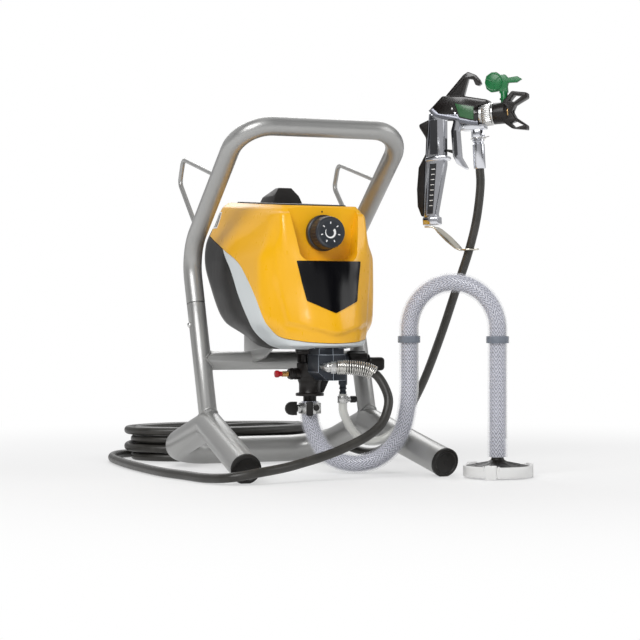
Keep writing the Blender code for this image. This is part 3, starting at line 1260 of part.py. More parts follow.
def pump_run_points():
    start, way = outlet_end()
    coil = coil_points()
    back = (coil[0] - coil[1]).normalized()
    end = coil[0] + back * GAP
    route = [start + way * HOSE_LEAD, *PUMP_RUN, end + back * HOSE_LEAD]
    return [start + way * GAP, *hose_path(route), end]


def gun_run_points():
    coil = coil_points()
    onward = (coil[-1] - coil[-2]).normalized()
    start = coil[-1] + onward * GAP
    place = gun_matrix()
    ferrule = place @ Vector((FERRULE_A, 0, FERRULE_BOTTOM - GAP))
    below = place @ Vector((FERRULE_A, 0, FERRULE_BOTTOM - 0.020))
    ring = place @ Vector((RING_A, 0, RING_B))
    route = [start + onward * HOSE_LEAD, *GUN_RUN, ring, place @ Vector((-0.0060, 0, -0.0660)), below]
    return [start, *hose_path(route), ferrule]


def arch_points(shift, bottom_left, bottom_right):
    """Up one riser, over the half circle and down the other, moved aside by a shift."""
    left, right = Vector((*LEFT_RISER, 0)), Vector((*RIGHT_RISER, 0))
    middle, arm = (left + right) / 2, (right - left) / 2
    points = [left + Z_AXIS * bottom_left, left + Z_AXIS * (bottom_left + ARCH_SPRING) / 2]
    for step in range(11):
        angle = math.pi * step / 10
        points.append(middle - arm * math.cos(angle) + Z_AXIS * (ARCH_SPRING + arm.length * math.sin(angle)))
    points.append(right + Z_AXIS * (bottom_right + ARCH_SPRING) / 2)
    points.append(right + Z_AXIS * bottom_right)
    return [point + Vector(shift) for point in points]


def suction_points():
    top = Vector((0, PISTON_Y, SUCTION_TOP))
    lead = [top, top - Z_AXIS * 0.0110]
    drop = hose_path([top - Z_AXIS * 0.0220, *SUCTION_DROP, (*LEFT_RISER, 0.1150)])
    return lead + drop + arch_points((0, 0, 0), 0.1350, FILTER_HOSE_END)


def return_points():
    top = Vector((RETURN_X, RETURN_Y, RETURN_TOP))
    shift = Vector(RETURN_SHIFT)
    first = Vector((*LEFT_RISER, 0.1100)) + shift
    drop = hose_path([top - Z_AXIS * 0.0170, *RETURN_DROP, first])
    return [top] + drop + arch_points(shift, 0.1350, RETURN_BARE_END)


def bend_guard_points():
    """A wire wound round the first stretch of the pressure hose, tight at the fitting."""
    start, way = outlet_end()
    dense = even_points(smooth_path([start + way * GAP, *PUMP_RUN[:8]], 0.001), 0.001)
    lengths = [0.0]
    for first, second in zip(dense, dense[1:]):
        lengths.append(lengths[-1] + (second - first).length)
    side = way.cross(Z_AXIS).normalized()
    frames = []
    for index, point in enumerate(dense):
        ahead = dense[min(index + 1, len(dense) - 1)] - dense[max(index - 1, 0)]
        ahead.normalize()
        side = (side - ahead * side.dot(ahead)).normalized()
        frames.append((point, side.copy(), ahead.cross(side)))
    points = []
    count = GUARD_CURLS * GUARD_POINTS_PER_CURL
    begin = GUARD_WIRE_RADIUS + GAP
    for step in range(count + 1):
        reach = begin + (GUARD_LENGTH - begin) * step / count
        index = next(i for i, length in enumerate(lengths) if length >= reach)
        share = (reach - lengths[index - 1]) / (lengths[index] - lengths[index - 1])
        centre = frames[index - 1][0].lerp(frames[index][0], share)
        angle = 2 * math.pi * step / GUARD_POINTS_PER_CURL
        points.append(centre + (frames[index][1] * math.cos(angle) + frames[index][2] * math.sin(angle))
                      * GUARD_MEAN_RADIUS)
    return points


def make_clip(root, riser, name):
    """A clip that holds the suction hose and the return tube side by side."""
    height = 0.0090
    low = Vector((*riser, CLIP_HEIGHT - height / 2))
    shift = Vector(RETURN_SHIFT)
    up = Z_AXIS * height
    clip = unite(cylinder(low, low + up, SUCTION_RADIUS + 0.0017, sides=20),
                 cylinder(low + shift, low + shift + up, RETURN_RADIUS + 0.0017, sides=16))
    clip = carve(clip, cylinder(low - up, low + up * 2, SUCTION_RADIUS + GAP, sides=20),
                 cylinder(low + shift - up, low + shift + up * 2, RETURN_RADIUS + GAP, sides=16))
    add_part(clip, name, TRIM_GREY, root)


def make_filter(root):
    centre = (FILTER_X, FILTER_Y, 0)
    seat = FILTER_RADIUS - 0.0042
    profile = [(0.0, FILTER_SPIGOT_TOP), (FILTER_SPIGOT_RADIUS - 0.0008, FILTER_SPIGOT_TOP),
               (FILTER_SPIGOT_RADIUS, FILTER_SPIGOT_TOP - 0.0012), (FILTER_SPIGOT_RADIUS, 0.0240),
               (FILTER_SPIGOT_RADIUS + 0.0030, 0.0215), (seat - 0.0060, 0.0165), (seat, 0.0160), (seat, 0.0030),
               (0.0, 0.0030)]
    add_part(turned(profile, centre, Z_AXIS, 24), "filter_body", BLACK_PLASTIC, root)

    ring_profile = [(FILTER_RADIUS - 0.0008, 0.0160), (FILTER_RADIUS, 0.0152), (FILTER_RADIUS, 0.0030),
                    (FILTER_RADIUS - 0.0010, 0.0015), (seat - 0.0100, 0.0015), (seat - 0.0100, 0.0027),
                    (seat + GAP, 0.0027), (seat + GAP, 0.0160)]
    ring = turned(ring_profile, centre, Z_AXIS, 24)
    for degrees in (-130, -10, 110):
        angle = math.radians(degrees)
        tab = box((-0.0020, -0.0075, 0.0), (0.0032, 0.0075, 0.0185))
        place = (Matrix.Translation(centre) @ Matrix.Rotation(angle, 4, "Z")
                 @ Matrix.Translation((FILTER_RADIUS - 0.0012, 0, 0)))
        tab.data.transform(place)
        ring = unite(ring, tab)
    add_part(ring, "filter_ring", WHITE_PLASTIC, root)


def make_hoses(root):
    coil = coil_points()
    print(f"pressure_hose_coil least gap {least_gap(coil, PRESSURE_RADIUS, 0.040) * 1000:.2f} mm")
    spring = bend_guard_points()
    print(f"hose_bend_guard least gap {least_gap(spring, GUARD_WIRE_RADIUS, 0.020) * 1000:.2f} mm")
    add_part(tube(coil, PRESSURE_RADIUS, resolution=1), "pressure_hose_coil", RUBBER, root)
    add_part(tube(pump_run_points(), PRESSURE_RADIUS, resolution=2), "pressure_hose_pump_run", RUBBER, root)
    add_part(tube(gun_run_points(), PRESSURE_RADIUS, resolution=2), "pressure_hose_gun_run", RUBBER, root)
    add_part(tube(spring, GUARD_WIRE_RADIUS, resolution=1), "hose_bend_guard", STEEL, root)
    suction = tube(suction_points(), SUCTION_RADIUS, resolution=3)
    barb_socket = cylinder((0, PISTON_Y, SUCTION_TOP - 0.0180), (0, PISTON_Y, SUCTION_TOP + 0.01), SUCTION_BORE)
    spigot_socket = cylinder((*RIGHT_RISER, FILTER_SPIGOT_TOP + 0.0010), (*RIGHT_RISER, 0.0), SUCTION_BORE)
    add_part(carve(suction, barb_socket, spigot_socket), "suction_hose", CLEAR_HOSE, root)
    add_part(tube(return_points(), RETURN_RADIUS, resolution=2), "return_tube", CLEAR_HOSE, root)
    make_clip(root, LEFT_RISER, "tube_clip_left")
    make_clip(root, RIGHT_RISER, "tube_clip_right")
    make_filter(root)


# ================================================================ spray gun
# The gun is built in its own frame: X along the barrel, Y to its left and Z up.
HEAD_OUTLINE = ((-0.0640, 0.0880), (-0.0440, 0.1065), (-0.0140, 0.1040), (0.0210, 0.0955), (0.0210, 0.0900),
                (0.0062, 0.0880), (0.0062, 0.0620), (-0.0200, 0.0660), (-0.0240, 0.0720), (-0.0440, 0.0740),
                (-0.0580, 0.0800))
HOOK_OUTLINE = ((-0.0425, 0.1050), (-0.0140, 0.1335), (-0.0070, 0.1374), (0.0030, 0.1325), (0.0090, 0.1250),
                (0.0112, 0.1190), (0.0070, 0.1165), (0.0030, 0.1180), (0.0000, 0.1260), (-0.0070, 0.1275),
                (-0.0152, 0.1030))
HANDLE_OUTLINE = ((-0.0400, 0.0800), (-0.0430, 0.0720), (-0.0460, 0.0110), (-0.0620, -0.0560),
                  (-0.0600, -0.0690), (-0.0810, -0.0700), (-0.0755, 0.0000), (-0.0650, 0.0850))
GRIP_OUTLINE = ((-0.0650, 0.0760), (-0.0815, 0.0700), (-0.0800, 0.0650), (-0.0715, 0.0500), (-0.0735, 0.0280),
                (-0.0845, 0.0100), (-0.0885, -0.0200), (-0.0888, -0.0440), (-0.0835, -0.0600),
                (-0.0760, -0.0560), (-0.0700, 0.0000), (-0.0620, 0.0700))
PANEL_OUTLINE = ((-0.0255, 0.0940), (0.0010, 0.0872), (0.0002, 0.0692), (-0.0195, 0.0750))
TRIGGER_OUTLINE = ((-0.0225, 0.0850), (-0.0215, 0.0660), (-0.0243, 0.0560), (-0.0232, 0.0200),
                   (-0.0150, 0.0045), (-0.0165, 0.0022), (-0.0290, 0.0110), (-0.0340, 0.0220),
                   (-0.0350, 0.0570), (-0.0312, 0.0690), (-0.0312, 0.0850))
GUARD_OUTLINE = ((0.0400, 0.0900), (0.0545, 0.1048), (0.0757, 0.1008), (0.0757, 0.0937), (0.0580, 0.0850),
                 (0.0535, 0.0764), (0.0580, 0.0678), (0.0735, 0.0560), (0.0732, 0.0498), (0.0520, 0.0535),
                 (0.0400, 0.0630))
GUARD_WINDOW = ((0.0500, 0.0915), (0.0570, 0.0990), (0.0690, 0.0965), (0.0575, 0.0895))
TIP_OUTLINE = ((0.0360, 0.1035), (0.0360, 0.1075), (0.0330, 0.1065), (0.0240, 0.1060), (0.0180, 0.1110),
               (0.0160, 0.1200), (0.0185, 0.1290), (0.0260, 0.1335), (0.0330, 0.1335), (0.0380, 0.1290),
               (0.0450, 0.1290), (0.0490, 0.1240), (0.0620, 0.1250), (0.0684, 0.1206), (0.0610, 0.1165),
               (0.0490, 0.1170), (0.0475, 0.1120), (0.0480, 0.1035))


def gun_matrix():
    return (Matrix.Translation(GUN_LOCATION) @ Matrix.Rotation(GUN_YAW, 4, "Z")
            @ Matrix.Rotation(GUN_PITCH, 4, "Y"))


def gun_plate(outline, half_thickness, y=0.0):
    return plate(outline, half_thickness * 2, front_plane(y))


def barrel(a, b, radius, sides=ROUND):
    return cylinder((a, 0, BARREL_HEIGHT), (b, 0, BARREL_HEIGHT), radius, sides=sides)


def cross_pin(a, b, half_length, radius):
    return cylinder((a, -half_length, b), (a, half_length, b), radius, sides=12)


def make_gun_head(gun):
    head = gun_plate(HEAD_OUTLINE, HEAD_HALF_THICKNESS)
    head = chamfer(head, 0.0025)
    body = unite(head, barrel(-0.0050, NUT_BACK + 0.0030, BARREL_RADIUS), gun_plate(HOOK_OUTLINE, 0.0050))
    nut_room = barrel(NUT_BACK - GAP, 0.05, NUT_RADIUS + GAP)
    nipple = barrel(NUT_BACK - 0.004, GUARD_BACK - GAP, NIPPLE_RADIUS, sides=16)
    body = unite(carve(body, nut_room), nipple)
    slot = box((-0.0395, -TRIGGER_HALF_WIDTH - 0.0006, 0.05), (-0.0135, TRIGGER_HALF_WIDTH + 0.0006, 0.0890))
    pin = cross_pin(*TRIGGER_PIVOT, 0.03, 0.0022 + RUNNING_GAP)
    add_part(carve(body, slot, pin), "gun_head", BLACK_PLASTIC, gun)


def make_gun_handle(gun):
    handle = chamfer(gun_plate(HANDLE_OUTLINE, HANDLE_HALF_THICKNESS), 0.0025)
    stop = [(-0.0720, 0.0225), (-0.0430, 0.0238), (-0.0415, 0.0205), (-0.0430, 0.0175), (-0.0720, 0.0165)]
    stop = gun_plate(stop, HANDLE_HALF_THICKNESS + 0.0035)
    foot = chamfer(box((-0.0815, -0.0105, -0.0715), (-0.0590, 0.0105, -0.0600)), 0.0015)
    room = gun_plate(grown(HEAD_OUTLINE, GAP), 0.02)
    pocket = box((-0.0535, -LOCK_HALF_THICKNESS - 0.0007, 0.0245), (-0.0300, LOCK_HALF_THICKNESS + 0.0007, 0.0480))
    add_part(carve(unite(handle, stop, foot), room, pocket), "gun_handle", CHROME, gun)


def make_gun_grip(gun):
    """The rubber back of the handle, which laps a little way round it."""
    grip = chamfer(gun_plate(GRIP_OUTLINE, 0.0085), 0.0030)
    room = gun_plate(grown(HEAD_OUTLINE, GAP), 0.02)
    handle = gun_plate(grown(HANDLE_OUTLINE, GAP), 0.02)
    grip = carve(grip, room, handle)
    add_part(grip, "gun_grip", BLACK_PLASTIC, gun)


def make_fluid_fitting(gun):
    block = box((-0.0200, -0.0090, 0.0560), (0.0140, 0.0090, 0.0700))
    room = gun_plate(grown(HEAD_OUTLINE, GAP), 0.02)
    nut_room = barrel(NUT_BACK - GAP, 0.05, NUT_RADIUS + GAP)
    socket = barrel(-0.0050 - GAP, 0.0300, BARREL_RADIUS + GAP)
    block = carve(block, room, nut_room, socket)
    bottom = Vector((FERRULE_A, 0, FERRULE_BOTTOM))
    profile = [(0.0, 0.0570), (0.0060, 0.0570), (0.0060, 0.0440), (FERRULE_RADIUS, 0.0430), (FERRULE_RADIUS, 0.0395),
               (0.0075, 0.0390), (0.0075, 0.0365), (FERRULE_RADIUS, 0.0360), (FERRULE_RADIUS, FERRULE_BOTTOM),
               (0.0, FERRULE_BOTTOM)]
    stem = turned(profile, (bottom.x, 0, 0), Z_AXIS, 18)
    nut = cylinder((FERRULE_A, 0, 0.0450), (FERRULE_A, 0, 0.0565), 0.0098, sides=6)
    add_part(unite(block, stem, nut), "fluid_fitting", STEEL, gun)


def make_gun_strap(gun):
    """The band from the handle's foot to the ring that steadies the hose."""
    half = STRAP_THICKNESS / 2
    line = [(-0.0700, -0.0734), (-0.0620, -0.0780), (RING_A - 0.0120, RING_B)]
    upper = [(a, b + half) for a, b in line]
    lower = [(a, b - half) for a, b in reversed(line)]
    strap = gun_plate([(-0.0800, -0.0724), (-0.0640, -0.0724), *upper[1:], *lower[:-1], (-0.0800, -0.0744)], 0.0070)
    ring = cylinder((RING_A, 0, RING_B - half), (RING_A, 0, RING_B + half), RING_RADIUS)
    strap = unite(strap, ring)
    bore = cylinder((RING_A, 0, RING_B - 0.01), (RING_A, 0, RING_B + 0.01), RING_BORE, sides=16)
    add_part(carve(strap, bore), "hose_strap", STEEL, gun)


def make_trigger(gun):
    body = gun_plate(TRIGGER_OUTLINE, TRIGGER_HALF_WIDTH)
    channel = [(-0.0262, 0.0500), (-0.0262, 0.0215), (-0.0235, 0.0140), (-0.0400, 0.0140), (-0.0400, 0.0500)]
    hollow = gun_plate(channel, TRIGGER_HALF_WIDTH - 0.0020)
    body = unite(carve(body, hollow), cross_pin(*TRIGGER_PIVOT, HEAD_HALF_THICKNESS - 0.0005, 0.0022))
    add_part(body, "trigger", CHROME, gun, pivot=(TRIGGER_PIVOT[0], 0, TRIGGER_PIVOT[1]))


def make_trigger_lock(gun):
    a, b = LOCK_PIVOT
    outline = [(a - 0.0130, b + 0.0052), (a - 0.0140, b + 0.0025), (a - 0.0020, b - 0.0025), (a + 0.0025, b - 0.0020),
               (a + 0.0028, b + 0.0015), (a + 0.0005, b + 0.0028)]
    lever = chamfer(gun_plate(outline, LOCK_HALF_THICKNESS), 0.0006)
    add_part(lever, "trigger_lock", BLACK_PLASTIC, gun, pivot=(a, 0, b))


def make_retaining_nut(gun):
    profile = [(NUT_RADIUS - 0.0015, NUT_FRONT), (NUT_RADIUS, NUT_FRONT - 0.0020), (NUT_RADIUS, NUT_BACK + 0.0030),
               (NUT_RADIUS - 0.0020, NUT_BACK), (NIPPLE_RADIUS + GAP, NUT_BACK), (NIPPLE_RADIUS + GAP, NUT_FRONT)]
    nut = turned(profile, (0, 0, BARREL_HEIGHT), X_AXIS, ROUND)
    add_part(nut, "retaining_nut", STEEL, gun, pivot=(NUT_BACK, 0, BARREL_HEIGHT))


def make_tip_guard(gun):
    base = turned([(0.0, 0.0470), (0.0120, 0.0470), (0.0150, 0.0430), (0.0150, GUARD_BACK), (0.0, GUARD_BACK)],
                  (0, 0, BARREL_HEIGHT), X_AXIS, ROUND)
    wings = chamfer(gun_plate(GUARD_OUTLINE, 0.0085), 0.0012)
    windows = [gun_plate(GUARD_WINDOW, 0.02),
               gun_plate([(a, 2 * BARREL_HEIGHT - b) for a, b in GUARD_WINDOW], 0.02)]
    stem = cylinder((TIP_A, 0, TIP_SEAT), (TIP_A, 0, 0.2), TIP_STEM_RADIUS + RUNNING_GAP, sides=16)
    jet = barrel(TIP_A, 0.09, 0.0035, sides=SMALL_ROUND)
    guard = carve(unite(base, wings), *windows, stem, jet)
    add_part(guard, "tip_guard", BLACK_PLASTIC, gun, pivot=(GUARD_BACK, 0, BARREL_HEIGHT))


def make_spray_tip(gun):
    flag = chamfer(gun_plate(TIP_OUTLINE, 0.0030), 0.0006)
    stem = cylinder((TIP_A, 0, TIP_SEAT + GAP), (TIP_A, 0, 0.1060), TIP_STEM_RADIUS, sides=16)
    disc = cylinder((0.0290, -0.0038, 0.1198), (0.0290, 0.0038, 0.1198), 0.0125, sides=16)
    add_part(unite(flag, stem, disc), "spray_tip", GREEN, gun, pivot=(TIP_A, 0, BARREL_HEIGHT))


def make_gun(root):
    gun = add_empty("spray_gun", GUN_LOCATION, root)
    gun.rotation_euler = (0.0, GUN_PITCH, GUN_YAW)
    make_gun_head(gun)
    panel = gun_plate(PANEL_OUTLINE, 0.0004, -HEAD_HALF_THICKNESS - GAP - 0.0004)
    add_part(panel, "gun_side_panel", GREEN, gun)
    make_gun_handle(gun)
    make_gun_grip(gun)
    make_fluid_fitting(gun)
    make_gun_strap(gun)
    make_trigger(gun)
    make_trigger_lock(gun)
    make_retaining_nut(gun)
    make_tip_guard(gun)
    make_spray_tip(gun)


def main():
    clear_scene()
    new_collection("airless_paint_sprayer")
    new_collection("work")
    root = add_empty("sprayer_root", (-PART_CENTRE_X, -PART_CENTRE_Y, 0.0))
    make_stand(root)
    make_housing(root)
    make_drive(root)
    make_pump(root)
    make_hoses(root)
    make_gun(root)


main()
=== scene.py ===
"""Looks of an airless paint sprayer on its tube stand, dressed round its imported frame.

Each sub-assembly is a class that keeps its sizes as fields and builds its own pieces.
Sizes are in metres in the design frame, whose origin is on the floor midway between
the stand's two uprights; ``Bench.deliver`` shifts a finished piece to the row frame.
"""

from __future__ import annotations

import json
import logging
import math
from dataclasses import dataclass, field
from enum import Enum
from typing import Any, Iterable, Sequence

import bmesh
import bpy
from mathutils import Matrix, Vector

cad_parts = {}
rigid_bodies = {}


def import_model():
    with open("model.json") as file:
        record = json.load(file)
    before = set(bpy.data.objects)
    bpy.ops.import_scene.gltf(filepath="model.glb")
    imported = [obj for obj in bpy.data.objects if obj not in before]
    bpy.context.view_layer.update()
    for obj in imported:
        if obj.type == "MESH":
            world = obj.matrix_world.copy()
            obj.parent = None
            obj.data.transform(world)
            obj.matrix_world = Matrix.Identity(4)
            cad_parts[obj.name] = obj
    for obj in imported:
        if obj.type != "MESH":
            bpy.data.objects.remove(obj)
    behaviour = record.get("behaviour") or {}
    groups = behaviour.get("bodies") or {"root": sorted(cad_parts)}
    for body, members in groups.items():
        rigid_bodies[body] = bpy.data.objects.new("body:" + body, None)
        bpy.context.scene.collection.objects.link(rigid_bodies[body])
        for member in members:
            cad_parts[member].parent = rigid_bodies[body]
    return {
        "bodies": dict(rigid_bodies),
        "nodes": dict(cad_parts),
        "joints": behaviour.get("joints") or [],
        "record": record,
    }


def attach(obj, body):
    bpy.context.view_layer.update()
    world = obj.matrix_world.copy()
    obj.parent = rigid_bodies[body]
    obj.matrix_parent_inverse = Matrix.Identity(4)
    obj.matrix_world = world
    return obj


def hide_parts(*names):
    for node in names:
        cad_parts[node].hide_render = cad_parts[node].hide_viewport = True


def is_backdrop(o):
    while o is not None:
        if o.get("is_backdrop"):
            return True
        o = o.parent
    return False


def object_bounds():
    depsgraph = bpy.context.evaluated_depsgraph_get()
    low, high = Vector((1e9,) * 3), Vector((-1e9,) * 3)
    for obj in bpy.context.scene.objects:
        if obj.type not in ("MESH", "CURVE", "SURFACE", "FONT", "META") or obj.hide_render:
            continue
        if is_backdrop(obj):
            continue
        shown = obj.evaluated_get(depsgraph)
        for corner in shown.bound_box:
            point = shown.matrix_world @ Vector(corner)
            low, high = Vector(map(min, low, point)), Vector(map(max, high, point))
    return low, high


LOG = logging.getLogger("sprayer")
SHIFT = Vector((-0.07224, 0.00833, 0.0))
GAP = 0.0003
X, Y, Z = Vector((1, 0, 0)), Vector((0, 1, 0)), Vector((0, 0, 1))
SIDES = ((-1, "left"), (1, "right"))

Colour = tuple[float, float, float]
Points = Sequence[Sequence[float]]
Thing = bpy.types.Object


def tenths(*rows: Sequence[int]) -> tuple[tuple[float, ...], ...]:
    """Turn rows of tenths of a millimetre into metres."""
    return tuple(tuple(number / 10000 for number in row) for row in rows)


def around(count: int, closed: bool = False) -> list[float]:
    """Divide a full turn into equal angles, with the last one again where it is closed."""
    return [math.tau * step / count for step in range(count + closed)]


def polar(reach: float, angle: float) -> tuple[float, float]:
    """Give a plane's point by its distance and angle from the origin."""
    return reach * math.cos(angle), reach * math.sin(angle)


def clamped(share: float) -> float:
    """Keep a share between 0 and 1."""
    return min(1.0, max(0.0, share))


def eased(share: float) -> float:
    """Let a share from 0 to 1 start and end gently."""
    return share * share * (3 - 2 * share)


# ====================================================================== shader maths
class Wire:
    """A shader socket that takes part in Python expressions."""

    def __init__(self, graph: Graph, socket: bpy.types.NodeSocket) -> None:
        """Keep the socket and the graph that it belongs to."""
        self.graph = graph
        self.socket = socket

    def __add__(self, other: Wire | float) -> Wire:
        """Add."""
        return self.graph.maths("ADD", self, other)

    def __radd__(self, other: float) -> Wire:
        """Add to a number."""
        return self.graph.maths("ADD", other, self)

    def __sub__(self, other: Wire | float) -> Wire:
        """Subtract."""
        return self.graph.maths("SUBTRACT", self, other)

    def __rsub__(self, other: float) -> Wire:
        """Subtract from a number."""
        return self.graph.maths("SUBTRACT", other, self)

    def __mul__(self, other: Wire | float) -> Wire:
        """Multiply."""
        return self.graph.maths("MULTIPLY", self, other)

    def __rmul__(self, other: float) -> Wire:
        """Multiply a number."""
        return self.graph.maths("MULTIPLY", other, self)

    def __abs__(self) -> Wire:
        """Take the size without the sign."""
        return self.graph.maths("ABSOLUTE", self)

    def __or__(self, other: Wire | float) -> Wire:
        """Take the larger one, which joins two masks."""
        return self.graph.maths("MAXIMUM", self, other)

    def __and__(self, other: Wire | float) -> Wire:
        """Take the smaller one, which is what two masks share."""
        return self.graph.maths("MINIMUM", self, other)

    def fraction(self) -> Wire:
        """Take what is behind the decimal point."""
        return self.graph.maths("FRACT", self)

    def rise(self, start: float, end: float) -> Wire:
        """Turn a value into a mask that climbs smoothly from 0 to 1.

        Args:
            start: The value at which the mask leaves 0.
            end: The value at which it reaches 1.

        Returns:
            The mask.
        """
        return self.graph.node("ShaderNodeMapRange", {"interpolation_type": "SMOOTHSTEP"},
                               {0: self, 1: start, 2: end, 3: 0.0, 4: 1.0})


class Graph:
    """A node tree that is filled by expressions."""

    def __init__(self, tree: bpy.types.NodeTree) -> None:
        """Empty the tree.

        Args:
            tree: The node tree of a material or of the world.
        """
        self.tree = tree
        tree.nodes.clear()

    def node(self, kind: str, settings: dict[str, Any] | None = None,
             inputs: dict[int | str, Any] | None = None, output: int | str = 0) -> Wire:
        """Add any node.

        Args:
            kind: The node's type.
            settings: Its properties, set first; ``stops`` are a colour ramp's (place, colour) pairs.
            inputs: Values or wires by the socket's name or number.
            output: The socket that is handed back.

        Returns:
            The wire of that output.
        """
        made = self.tree.nodes.new(kind)
        for key, value in (settings or {}).items():
            if key == "stops":
                for stop, (place, colour) in zip(self._stops(made.color_ramp, len(value)), value):
                    stop.position = place
                    stop.color = (*colour, 1.0)
            else:
                setattr(made, key, value)
        for key, value in (inputs or {}).items():
            if isinstance(value, Wire):
                self.tree.links.new(value.socket, made.inputs[key])
            else:
                socket = made.inputs[key]
                socket.default_value = (*value, 1.0) if socket.type == "RGBA" and len(value) == 3 else value
        return Wire(self, made.outputs[output])

    @staticmethod
    def _stops(ramp: bpy.types.ColorRamp, count: int) -> list[bpy.types.ColorRampElement]:
        """Give a ramp as many stops as it needs."""
        while len(ramp.elements) < count:
            ramp.elements.new(0.5)
        return list(ramp.elements)

    def maths(self, operation: str, *values: Wire | float) -> Wire:
        """Add a Math node.

        Args:
            operation: The node's operation.
            values: Its operands.

        Returns:
            The result.
        """
        return self.node("ShaderNodeMath", {"operation": operation}, dict(enumerate(values)))

    def place(self) -> Wire:
        """Give the place on the piece, in metres."""
        return self.node("ShaderNodeTexCoord", output="Object")

    def stretched(self, place: Wire, scales: Sequence[float]) -> Wire:
        """Scale a place by a number for each axis."""
        return self.node("ShaderNodeVectorMath", {"operation": "MULTIPLY"}, {0: place, 1: tuple(scales)})

    def noise(self, place: Wire, scale: float, detail: float = 2.0, rough: float = 0.5) -> Wire:
        """Add smooth noise from 0 to 1.

        Args:
            place: Where it is read.
            scale: Its cells for each unit of the place.
            detail: Its octaves.
            rough: How strong the finer octaves are.

        Returns:
            The noise.
        """
        return self.node("ShaderNodeTexNoise", None,
                         {"Vector": place, "Scale": scale, "Detail": detail, "Roughness": rough})

    def tint(self, share: Wire | float, first: Wire | Colour, second: Wire | Colour) -> Wire:
        """Mix two colours.

        Args:
            share: 0 for the first colour and 1 for the second.
            first: A colour.
            second: Another colour.

        Returns:
            The mixed colour.
        """
        return self.node("ShaderNodeMix", {"data_type": "RGBA"}, {0: share, 6: first, 7: second}, 2)

    def bump(self, height: Wire, depth: float, onto: Wire | None = None) -> Wire:
        """Turn a height from 0 to 1 into a normal.

        Args:
            height: The relief.
            depth: What a height of 1 is in metres.
            onto: A normal that the relief is laid on.

        Returns:
            The normal.
        """
        inputs: dict[int | str, Any] = {"Strength": 1.0, "Distance": depth, "Height": height}
        if onto is not None:
            inputs["Normal"] = onto
        return self.node("ShaderNodeBump", None, inputs, "Normal")

    def parts(self, vector: Wire) -> list[Wire]:
        """Split a vector into its three numbers."""
        made = self.node("ShaderNodeSeparateXYZ", None, {0: vector}).socket.node
        return [Wire(self, socket) for socket in made.outputs]

    def rays(self, *kinds: str) -> Wire:
        """Make a mask that is 1 for rays of any of these kinds."""
        outputs = self.node("ShaderNodeLightPath").socket.node.outputs
        mask, *others = (Wire(self, outputs[f"Is {kind} Ray"]) for kind in kinds)
        for other in others:
            mask = mask | other
        return mask

    def end(self, shader: Wire, kind: str = "ShaderNodeOutputMaterial") -> None:
        """Wire a shader to the output of a material or of the world."""
        made = self.tree.nodes.new(kind)
        self.tree.links.new(shader.socket, made.inputs["Surface"])


def shade(colour: Colour, share: float) -> Colour:
    """Darken or lighten a colour by a share."""
    return tuple(min(1.0, part * share) for part in colour)


# ========================================================================== finishes
@dataclass(frozen=True)
class Finish:
    """A surface finish, which makes its material once."""

    name: str
    colour: Colour
    roughness: float = 0.4
    metallic: float = 0.0
    coat: float = 0.0
    grain: float = 0.00002
    grain_scale: float = 1400.0
    mottle: float = 0.04
    specular: float = 0.5
    slot: str = ""

    def material(self) -> bpy.types.Material:
        """Return the finish's material, made on its first use."""
        known = bpy.data.materials.get(self.name)
        if known is not None:
            return known
        material = bpy.data.materials.new(self.name)
        material.use_nodes = True
        material.diffuse_color = (*self.colour, 1.0)
        self.shade(Graph(material.node_tree))
        return material

    def tinted(self, graph: Graph, share: Wire, dark: float, light: float) -> Wire:
        """Vary the finish's colour between two of its shades."""
        return graph.tint(share, shade(self.colour, dark), shade(self.colour, light))

    def lay(self, graph: Graph, colour: Wire, roughness: Wire, normal: Wire,
            alpha: Wire | float = 1.0) -> None:
        """End the graph in a shader with what varies and what is the same all over.

        Args:
            graph: The material's graph.
            colour: The base colour.
            roughness: The roughness.
            normal: The relief.
            alpha: The cover of a see-through finish.
        """
        inputs: dict[int | str, Any] = {
            "Metallic": self.metallic, "Specular IOR Level": self.specular, "Base Color": colour,
            "Roughness": roughness, "Normal": normal, "Alpha": alpha}
        if self.coat:
            inputs.update({"Coat Weight": self.coat, "Coat Roughness": 0.06})
        graph.end(graph.node("ShaderNodeBsdfPrincipled", None, inputs))

    def shade(self, graph: Graph) -> None:
        """Fill the material's graph; each kind of finish has its own way."""
        raise NotImplementedError


@dataclass(frozen=True)
class MouldedPlastic(Finish):
    """Injection-moulded plastic with a fine spark-eroded grain and faint flow marks."""

    def shade(self, graph: Graph) -> None:
        """Grain in the normal, handling marks in the gloss."""
        place = graph.place()
        cloud = graph.noise(place, 22.0, 3.0)
        smear = graph.noise(graph.stretched(place, (1.0, 1.0, 0.35)), 160.0, 4.0, 0.6)
        grain = graph.noise(place, self.grain_scale, 2.0, 0.7)
        self.lay(graph, self.tinted(graph, cloud, 1 - self.mottle, 1 + self.mottle),
                 self.roughness + (smear - 0.5) * 0.16 + (cloud - 0.5) * 0.05, graph.bump(grain, self.grain))


@dataclass(frozen=True)
class SprayedPaint(Finish):
    """Metallic paint on a steel tube: flakes, orange peel and a few fine scuffs."""

    flake: float = 0.10

    def shade(self, graph: Graph) -> None:
        """Flakes in the colour, orange peel in the normal, scuffs in the gloss."""
        place = graph.place()
        flakes = graph.node("ShaderNodeTexVoronoi", None, {"Vector": place, "Scale": 2600.0}, "Color")
        spark = graph.node("ShaderNodeSeparateColor", None, {0: flakes})
        cloud = graph.noise(place, 14.0, 3.0)
        peel = graph.noise(place, 520.0, 1.0)
        scuff = graph.noise(graph.stretched(place, (1.0, 1.0, 6.0)), 260.0, 5.0, 0.65).rise(0.66, 0.78)
        tone = (spark * self.flake + cloud * 0.12).rise(0.0, self.flake + 0.12)
        self.lay(graph, self.tinted(graph, tone, 0.90, 1.08),
                 self.roughness + (cloud - 0.5) * 0.06 + scuff * 0.10 + spark * 0.05,
                 graph.bump(peel, self.grain))


